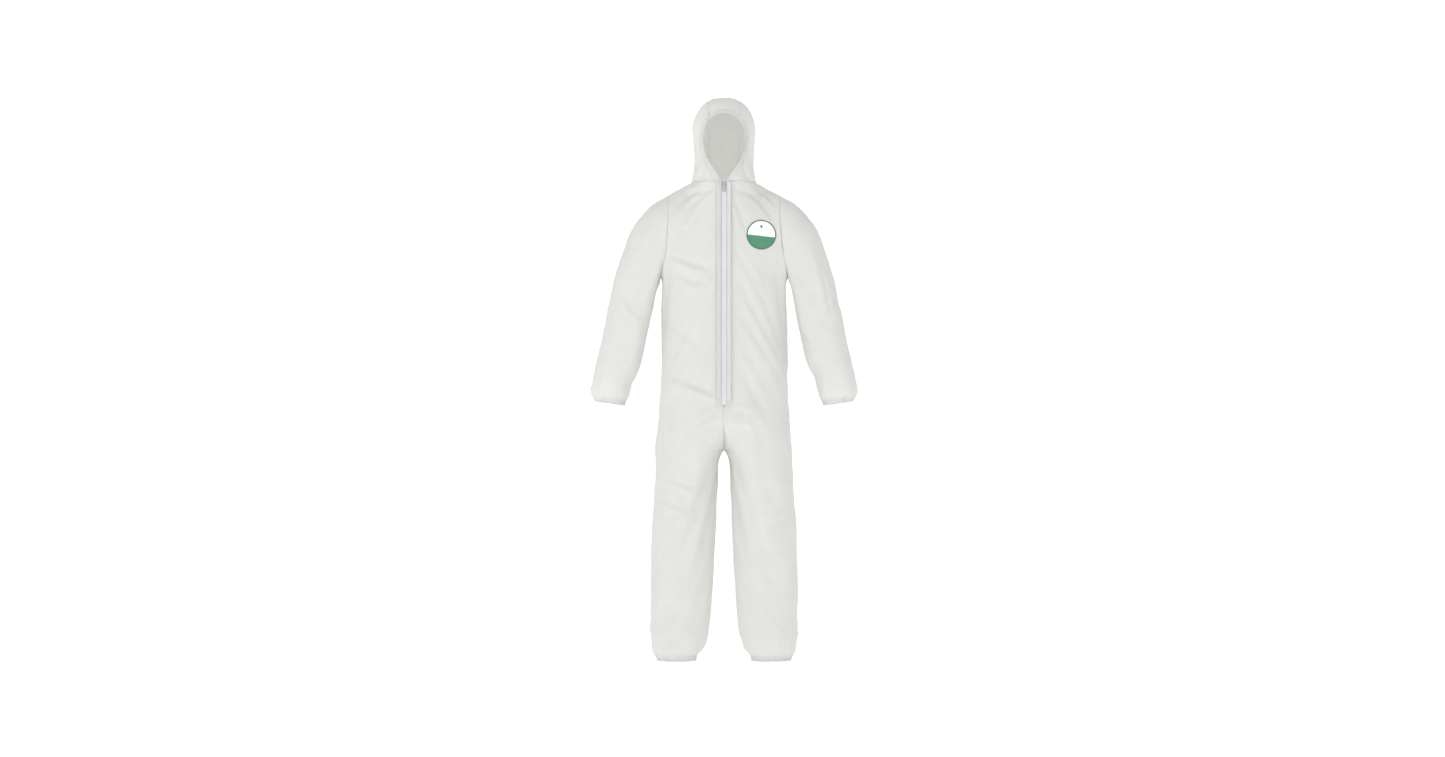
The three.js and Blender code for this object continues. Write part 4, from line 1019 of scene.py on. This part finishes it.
def moulded(name, low, high, roughness, metallic=0.0, grain=900.0):
    """Plastic or cast metal with a fine, slightly uneven skin."""
    material, tree, surface = shader(name, high, roughness, Metallic=metallic)
    where = node(tree, "ShaderNodeTexCoord").outputs["Object"]
    fine = node(tree, "ShaderNodeTexNoise", {"Vector": where, "Scale": grain, "Detail": 4.0})
    wear = node(tree, "ShaderNodeTexNoise", {"Vector": where, "Scale": 180.0, "Detail": 3.0})
    tinted(tree, surface, wear.outputs["Fac"], low, high)
    bump = node(tree, "ShaderNodeBump", {"Height": fine.outputs["Fac"], "Strength": 0.15, "Distance": 0.0002})
    tree.links.new(bump.outputs["Normal"], surface.inputs["Normal"])
    return material


cloth_white = nonwoven("suit_cloth", (0.815, 0.815, 0.795), (0.895, 0.895, 0.88), 0.72)
cloth_doubled = nonwoven("suit_cloth_doubled", (0.83, 0.83, 0.845), (0.88, 0.88, 0.895), 0.70)
tape_weave = woven("zip_tape", (0.88, 0.88, 0.89), (0.92, 0.92, 0.93), 0.0009)
coil_nylon = moulded("zip_nylon", (0.85, 0.85, 0.86), (0.90, 0.90, 0.91), 0.38)
slider_paint = moulded("zip_slider", (0.50, 0.50, 0.51), (0.62, 0.62, 0.63), 0.34, metallic=0.8)
elastic_weave = woven("elastic", (0.72, 0.72, 0.70), (0.80, 0.80, 0.78), 0.0008)
thread_white = woven("sewing_thread", (0.78, 0.79, 0.80), (0.84, 0.85, 0.86), 0.0005, 0.6)
label_pale = moulded("chest_label_pale", (0.88, 0.89, 0.88), (0.92, 0.93, 0.92), 0.42, grain=500.0)
label_green = moulded("chest_label_green", (0.055, 0.22, 0.12), (0.07, 0.26, 0.145), 0.42, grain=500.0)
label_rim = moulded("chest_label_rim", (0.03, 0.12, 0.07), (0.04, 0.145, 0.085), 0.42, grain=500.0)
care_satin = woven("care_label", (0.78, 0.78, 0.77), (0.85, 0.85, 0.84), 0.0005, 0.5)


# ---- the cloth pieces
CLOTH_THICKNESS = 0.0005


def rides(item, name):
    """A piece named for the hood, the face or a side has its placement baked into its mesh; any other follows
    the body.
    """
    if name.startswith("hood") or name.startswith("face"):
        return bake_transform(item)
    if name.startswith("left"):
        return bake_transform(item)
    if name.startswith("right"):
        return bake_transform(item)
    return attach(item, "body")


def thickened(item, thickness, offset):
    thick = item.modifiers.new("thickness", "SOLIDIFY")
    thick.thickness = thickness
    thick.offset = offset
    return item


def cloth_pieces(mesh):
    verts, faces, labels = turned_in(mesh)
    made = {}
    for k, name in enumerate(PIECES):
        own = faces[labels == k]
        used, own = np.unique(own, return_inverse=True)
        own = own.reshape(-1, 4)
        panel = piece_mesh(name + "_cloth", verts[used], own, cloth_white)
        panel.materials.append(cloth_doubled)
        middle = verts[used][own].mean(axis=1)
        strip = (np.abs(middle[:, 0]) < STITCH_FROM_ZIP / 1000) & (middle[:, 1] < -0.06)
        strip &= name.endswith("front_panel")
        strip &= (middle[:, 2] > (ZIP_BOTTOM_HEIGHT - 6 - ORIGIN_HEIGHT) / 1000)
        panel.polygons.foreach_set("material_index", strip.astype(np.int32))
        item = new_object(name + "_cloth", panel)
        thickened(item, CLOTH_THICKNESS, -1.0)
        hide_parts(name)
        rides(item, name)
        made[name] = item
    return made


# ---- bands, threads and the zip
def tube_faces(base, count, sides, closed=False):
    """The faces of a tube of count rings from vertex base on; an open one is capped."""
    faces = []
    for i in range(count if closed else count - 1):
        low, high = base + i * sides, base + (i + 1) % count * sides
        for k in range(sides):
            n = (k + 1) % sides
            faces.append((low + k, low + n, high + n, high + k))
    if not closed:
        faces.append(tuple(range(base, base + sides))[::-1])
        faces.append(tuple(base + (count - 1) * sides + k for k in range(sides)))
    return faces


def swept(name, rings, material, closed):
    """A tube through rings of points; closed if the last ring meets the first."""
    rings = np.asarray(rings, float)
    faces = tube_faces(0, *rings.shape[:2], closed)
    return faced_out(piece_mesh(name, rings.reshape(-1, 3), faces, material))


# across and thickness of the elastic's section, with its corners eased
ELASTIC_SECTION = [(3.5, 1.2), (6.5, 1.15), (9.5, 1.2), (9.8, 1.45), (9.8, 1.75), (9.5, 2.05), (6.5, 2.1),
                   (3.5, 2.05), (3.2, 1.75), (3.2, 1.45)]


def kept_run(keep):
    """The kept places of a loop, in order from one end of the run to the other."""
    start = int(np.argmax(~keep))
    return [(start + i) % len(keep) for i in range(len(keep)) if keep[(start + i) % len(keep)]]


def elastic(name, loop, keep=None):
    rings = np.array([[edge + way * a / 1000 - normal * u / 1000 for a, u in ELASTIC_SECTION]
                      for edge, way, normal in zip(*loop)])
    if keep is not None:
        rings = rings[kept_run(keep)]
    return new_object(name, swept(name, rings, elastic_weave, keep is None))


STITCH_LENGTH = 0.0026
STITCH_GAP = 0.0013
THREAD = 0.00024
STITCH_SIDES = 6
# how far along a stitch and how thick, as a share of the thread
STITCH_SECTIONS = [(0.0, 0.25), (0.12, 0.85), (0.5, 1.1), (0.88, 0.85), (1.0, 0.25)]


def stitches(name, path, normal):
    """Small thread loops along a path on the cloth."""
    step = np.linalg.norm(np.diff(path, axis=0), axis=1)
    run = np.concatenate([[0.0], np.cumsum(step)])

    def along(values, at):
        return np.array([np.interp(at, run, values[:, k]) for k in range(3)])

    verts, faces = [], []
    start = 0.0
    while start + STITCH_LENGTH < run[-1]:
        spots = [along(path, start + share * STITCH_LENGTH) for share, _ in STITCH_SECTIONS]
        up = along(normal, start + STITCH_LENGTH / 2)
        side = np.cross(spots[-1] - spots[0], up)
        side /= np.linalg.norm(side)
        up = up / np.linalg.norm(up)
        faces += tube_faces(len(verts), len(spots), STITCH_SIDES)
        for (share, size), centre in zip(STITCH_SECTIONS, spots):
            rise = THREAD * (0.1 + 0.9 * math.sin(math.pi * share))
            for k in range(STITCH_SIDES):
                turn = math.pi * 2 * k / STITCH_SIDES
                out = side * THREAD * size * math.cos(turn)
                verts.append(centre + up * (rise + THREAD * size * math.sin(turn)) + out)
        start += STITCH_LENGTH + STITCH_GAP
    return new_object(name, piece_mesh(name, verts, faces, thread_white))


def landed(tree, spots, aims):
    """Where lines from the spots along the aims meet the cloth, and its outward normals there."""
    hits, normals = [], []
    for spot, aim in zip(spots, aims):
        place, normal, _, _ = tree.ray_cast(Vector(spot), Vector(aim), 0.2)
        if place is None:
            place, normal, _, _ = tree.find_nearest(Vector(spot))
        hits.append(np.array(place))
        normals.append(np.array(normal if normal.dot(Vector(aim)) < 0 else -normal))
    return np.array(hits), np.array(normals)


ZIP_SLOPE = (ZIP_BOTTOM_DEPTH - ZIP_TOP_DEPTH) / (NECK_HEIGHT - ZIP_BOTTOM_HEIGHT)


def zip_point(x, under, height):
    """A point of the zip: x from the middle, under the cloth's face, in millimetres."""
    y = -ZIP_BOTTOM_DEPTH + (height - ZIP_BOTTOM_HEIGHT) * ZIP_SLOPE + under
    return np.array([x / 1000, y / 1000, (height - ORIGIN_HEIGHT) / 1000])


# the tape's section: across and under the cloth's face; its inner edge is a thicker bead
TAPE_SECTION = [(0.5, 3.05), (1.4, 2.95), (2.3, 3.3), (8, 3.42), (14.5, 3.42), (15.2, 3.6), (15.2, 3.8),
                (14.5, 3.98), (8, 3.98), (2.3, 3.98), (1.2, 4.1), (0.5, 3.9)]
TAPE_HEIGHTS = np.linspace(820, 1528, 178)
TAPE_WAVE = 0.12
# across, under the cloth's face and thickness of a tooth, from the tip to the tape
TOOTH_SECTIONS = [(-1.35, 0.15, 0.30), (-1.2, 0.0, 0.62), (-0.5, -0.1, 0.74), (0.6, 0.0, 0.56),
                  (1.8, 0.15, 0.56), (2.9, 0.45, 0.50), (3.2, 1.0, 0.34)]
TOOTH_PITCH = 1.9
TOOTH_SIDES = 8
TOOTH_DEPTH = 1.75
TOOTH_RADIUS = 0.62
TOOTH_WIRE = 0.56
CHAIN_FOOT = 822.0
CHAIN_TOP = 1522.0
STITCH_HEIGHTS = np.linspace(826, 1522, 240)


def zip_tape(side, name):
    rings = []
    for i, height in enumerate(TAPE_HEIGHTS):
        drift = TAPE_WAVE * math.sin(i * 0.55 + side)
        ring = [(x, under + (drift if x > 3 else 0.0)) for x, under in TAPE_SECTION]
        rings.append([zip_point(side * x, under, height) for x, under in ring])
    return new_object(name, swept(name, rings, tape_weave, False))


def zip_teeth(side, name):
    """One side of the chain: each tooth is a rounded turn of the coil that reaches over the middle."""
    verts, faces = [], []
    height = CHAIN_FOOT + (TOOTH_PITCH / 2 if side > 0 else 0.0)
    while height < CHAIN_TOP:
        faces += tube_faces(len(verts), len(TOOTH_SECTIONS), TOOTH_SIDES)
        for x, under, size in TOOTH_SECTIONS:
            for k in range(TOOTH_SIDES):
                turn = math.pi * 2 * k / TOOTH_SIDES
                sink = TOOTH_DEPTH + under - TOOTH_RADIUS * math.sin(turn) * size / TOOTH_WIRE
                verts.append(zip_point(side * x, sink, height + TOOTH_RADIUS * math.cos(turn) * size))
        height += TOOTH_PITCH
    return new_object(name, faced_out(piece_mesh(name, verts, faces, coil_nylon)))


LABEL_CENTRE = (0.118, -0.143)
LABEL_RADIUS = 0.047
LABEL_RIM = 0.0435
LABEL_THICKNESS = 0.0006
LABEL_SLOPE = -0.10
LABEL_DIVIDE = -0.004
LABEL_DOT = (0.0, 0.026, 0.0042)
LABEL_LIFT = 0.0009
LABEL_SPOKES = 96
LABEL_RINGS = 16
LABEL_SMOOTHING = 6


def chest_label(tree):
    """A round two-tone patch with a rim and one small dot, laid on the cloth."""
    work = bmesh.new()
    rings = [LABEL_RADIUS * i / LABEL_RINGS for i in range(1, LABEL_RINGS)]
    rings = sorted({round(r, 5) for r in rings + [LABEL_RIM, LABEL_RADIUS - 0.0004, LABEL_RADIUS]})
    spokes = np.linspace(0, 2 * math.pi, LABEL_SPOKES + 1)[:-1]
    middle = work.verts.new((0, 0, 0))
    last = None
    for radius in rings:
        ring = [work.verts.new((radius * math.cos(a), 0, radius * math.sin(a))) for a in spokes]
        for k in range(LABEL_SPOKES):
            n = (k + 1) % LABEL_SPOKES
            if last is None:
                work.faces.new((middle, ring[k], ring[n]))
            else:
                work.faces.new((last[k], ring[k], ring[n], last[n]))
        last = ring
    across = Vector((-LABEL_SLOPE, 0, 1)).normalized()
    geometry = work.verts[:] + work.edges[:] + work.faces[:]
    bmesh.ops.bisect_plane(work, geom=geometry, plane_co=(0, 0, LABEL_DIVIDE), plane_no=across, dist=1e-7)
    for face in work.faces:
        spot = face.calc_center_median()
        radius = math.hypot(spot.x, spot.z)
        above = (spot - Vector((0, 0, LABEL_DIVIDE))).dot(across) > 0
        face.material_index = 2 if radius > LABEL_RIM else (0 if above else 1)
        face.smooth = True
        if math.hypot(spot.x - LABEL_DOT[0], spot.z - LABEL_DOT[1]) < LABEL_DOT[2]:
            face.material_index = 2
    spots = [(LABEL_CENTRE[0] + v.co.x, -0.25, LABEL_CENTRE[1] + v.co.z) for v in work.verts]
    hits, normals = landed(tree, spots, [(0, 1, 0)] * len(spots))
    for v, hit, normal in zip(work.verts, hits, normals):
        v.co = Vector(hit + normal * LABEL_LIFT)
    for _ in range(LABEL_SMOOTHING):
        bmesh.ops.smooth_vert(work, verts=work.verts, factor=0.5, use_axis_y=True)
    mesh = bpy.data.meshes.new("chest_label_patch")
    work.to_mesh(mesh)
    work.free()
    for material in (label_pale, label_green, label_rim):
        mesh.materials.append(material)
    item = new_object("chest_label_patch", mesh)
    if mesh.polygons[0].normal.y > 0:
        mesh.flip_normals()
    return thickened(item, LABEL_THICKNESS, 1.0)


CARE_ROWS = 26
CARE_COLUMNS = 9
CARE_CURL = 0.0018
CARE_THICKNESS = 0.0005


def care_label(lowest, highest):
    """A folded satin label, blank, hanging from the back of the neck."""
    verts = []
    for r in range(CARE_ROWS + 1):
        share = r / CARE_ROWS
        for c in range(CARE_COLUMNS + 1):
            across = c / CARE_COLUMNS
            curl = CARE_CURL * math.sin(math.pi * across) * math.sin(math.pi * share)
            y = mix(lowest.y, highest.y, share) - curl
            verts.append((mix(lowest.x, highest.x, across), y, mix(highest.z, lowest.z, share)))
    faces = grid_faces(CARE_ROWS + 1, CARE_COLUMNS + 1, False)
    item = new_object("care_label_satin", piece_mesh("care_label_satin", verts, faces, care_satin))
    return thickened(item, CARE_THICKNESS, -1.0)


def carried_over(name, material, edge):
    """A CAD piece that is shown, with its edges eased."""
    item = frame["nodes"][name]
    item.data.materials.clear()
    item.data.materials.append(material)
    ease = item.modifiers.new("eased", "BEVEL")
    ease.width = edge
    ease.segments = 2
    ease.limit_method = "ANGLE"
    ease.angle_limit = math.radians(35)
    return item


# ---- building it
# how high above the origin the face opening's elastic and its stitching start, in metres
FACE_BAND_FOOT = 0.037
FACE_STITCH_FOOT = 0.045
SHOT_FROM = -0.3

suit = sewn_suit()
set_positions(suit, hang(suit))
suit = finer(suit)
dress(suit)
panels = cloth_pieces(suit)
surface_tree = BVHTree.FromPolygons(positions(suit).tolist(), face_corners(suit).tolist())

for edge, way, normal in loops_of(suit):
    middle = edge.mean(axis=0)
    side = "left" if middle[0] > 0 else "right"
    loop = (edge, way, normal)
    stitched = edge + way * HEM_DEPTH
    if middle[2] < -1.2:
        band, node_name, row = elastic(side + "_ankle_band", loop), side + "_ankle_elastic", "ankle"
    elif abs(middle[0]) > 0.2:
        band, node_name, row = elastic(side + "_wrist_band", loop), side + "_wrist_elastic", "wrist"
    else:
        band, node_name, row = elastic("face_band", loop, edge[:, 2] > FACE_BAND_FOOT), "face_elastic", "face"
    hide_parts(node_name)
    places = np.array([surface_tree.find_nearest(Vector(s))[0] for s in stitched])
    if row == "face":
        order = kept_run(edge[:, 2] > FACE_STITCH_FOOT)
        thread = stitches("face_hem_stitching", places[order], normal[order])
        rides(band, "face")
        rides(thread, "face")
    else:
        path, up = np.vstack([places, places[:1]]), np.vstack([normal, normal[:1]])
        thread = stitches(side + "_" + row + "_hem_stitching", path, up)
        body = "body" if row == "ankle" else side + "_arm"
        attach(band, body)
        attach(thread, body)

for side, name in ((1, "left"), (-1, "right")):
    tape = zip_tape(side, name + "_tape_weave")
    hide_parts(name + "_zip_tape")
    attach(tape, "body")
    teeth = zip_teeth(side, name + "_coil_teeth")
    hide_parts(name + "_zip_coil")
    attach(teeth, "body")
    spots = [(side * STITCH_FROM_ZIP / 1000, SHOT_FROM, (h - ORIGIN_HEIGHT) / 1000) for h in STITCH_HEIGHTS]
    path, up = landed(surface_tree, spots, [(0, 1, 0)] * len(spots))
    seam = stitches(name + "_zip_topstitching", path, up)
    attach(seam, "body")

label = chest_label(surface_tree)
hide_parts("chest_label")
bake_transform(label)
care = care_label(*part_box("care_label"))
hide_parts("care_label")
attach(care, "body")

carried_over("zip_slider_body", slider_paint, 0.0004)
carried_over("zip_pull_tab", slider_paint, 0.00025)
for name in ("left_zip_top_stop", "right_zip_top_stop", "zip_bottom_stop"):
    carried_over(name, coil_nylon, 0.0003)
bpy.data.meshes.remove(suit)

# ---- the studio
scene = bpy.context.scene
scene.view_settings.view_transform = "Standard"
scene.view_settings.look = "None"
FLOOR_LEVEL = -1.5035
SWEEP_START = 16.0
SWEEP_RADIUS = 6.0
FLOOR_REACH = 40.0
WALL_TOP = 26.0
SWEEP_GLOW = 0.42
WORLD_LIGHT = 0.72
AIM = (0, 0, -0.6)


def studio_sweep():
    """A white floor that curves up into a wall behind."""
    outline = [(-FLOOR_REACH, FLOOR_LEVEL)]
    for turn in np.linspace(0, math.pi / 2, 24):
        rise = SWEEP_RADIUS * (1 - math.cos(turn))
        outline.append((SWEEP_START + SWEEP_RADIUS * math.sin(turn), FLOOR_LEVEL + rise))
    outline.append((SWEEP_START + SWEEP_RADIUS, WALL_TOP))
    verts = [(x, y, z) for y, z in outline for x in (-FLOOR_REACH, FLOOR_REACH)]
    faces = [(2 * i, 2 * i + 1, 2 * i + 3, 2 * i + 2) for i in range(len(outline) - 1)]
    material, tree, surface = shader("studio_white", (0.94, 0.94, 0.94), 0.9)
    surface.inputs["Specular IOR Level"].default_value = 0.0
    surface.inputs["Emission Color"].default_value = (1.0, 1.0, 1.0, 1.0)
    surface.inputs["Emission Strength"].default_value = SWEEP_GLOW
    return new_object("studio_sweep", piece_mesh("studio_sweep", verts, faces, material))


def soft_light(name, place, aim, size, power):
    light = bpy.data.lights.new(name, "AREA")
    light.shape = "RECTANGLE"
    light.size, light.size_y = size
    light.energy = power
    item = bpy.data.objects.new(name, light)
    scene.collection.objects.link(item)
    item.location = place
    item.rotation_euler = (Vector(aim) - Vector(place)).to_track_quat("-Z", "Y").to_euler()
    return item


world = bpy.data.worlds.new("studio")
scene.world = world
world.use_nodes = True
world.node_tree.nodes["Background"].inputs["Color"].default_value = (1.0, 1.0, 1.0, 1.0)
world.node_tree.nodes["Background"].inputs["Strength"].default_value = WORLD_LIGHT
studio_sweep()
soft_light("key", (-4.2, -4.4, 2.0), AIM, (2.6, 3.0), 112.0)
soft_light("fill", (4.4, -5.0, 0.2), AIM, (2.4, 3.0), 54.0)

camera = bpy.data.cameras.new("camera")
camera.lens = 85.0
camera.sensor_width = 36.0
camera_item = bpy.data.objects.new("camera", camera)
scene.collection.objects.link(camera_item)
camera_item.location = (-0.005, -10.918, -0.599)
camera_item.rotation_euler = (math.pi / 2, 0.0, 0.0)
scene.camera = camera_item
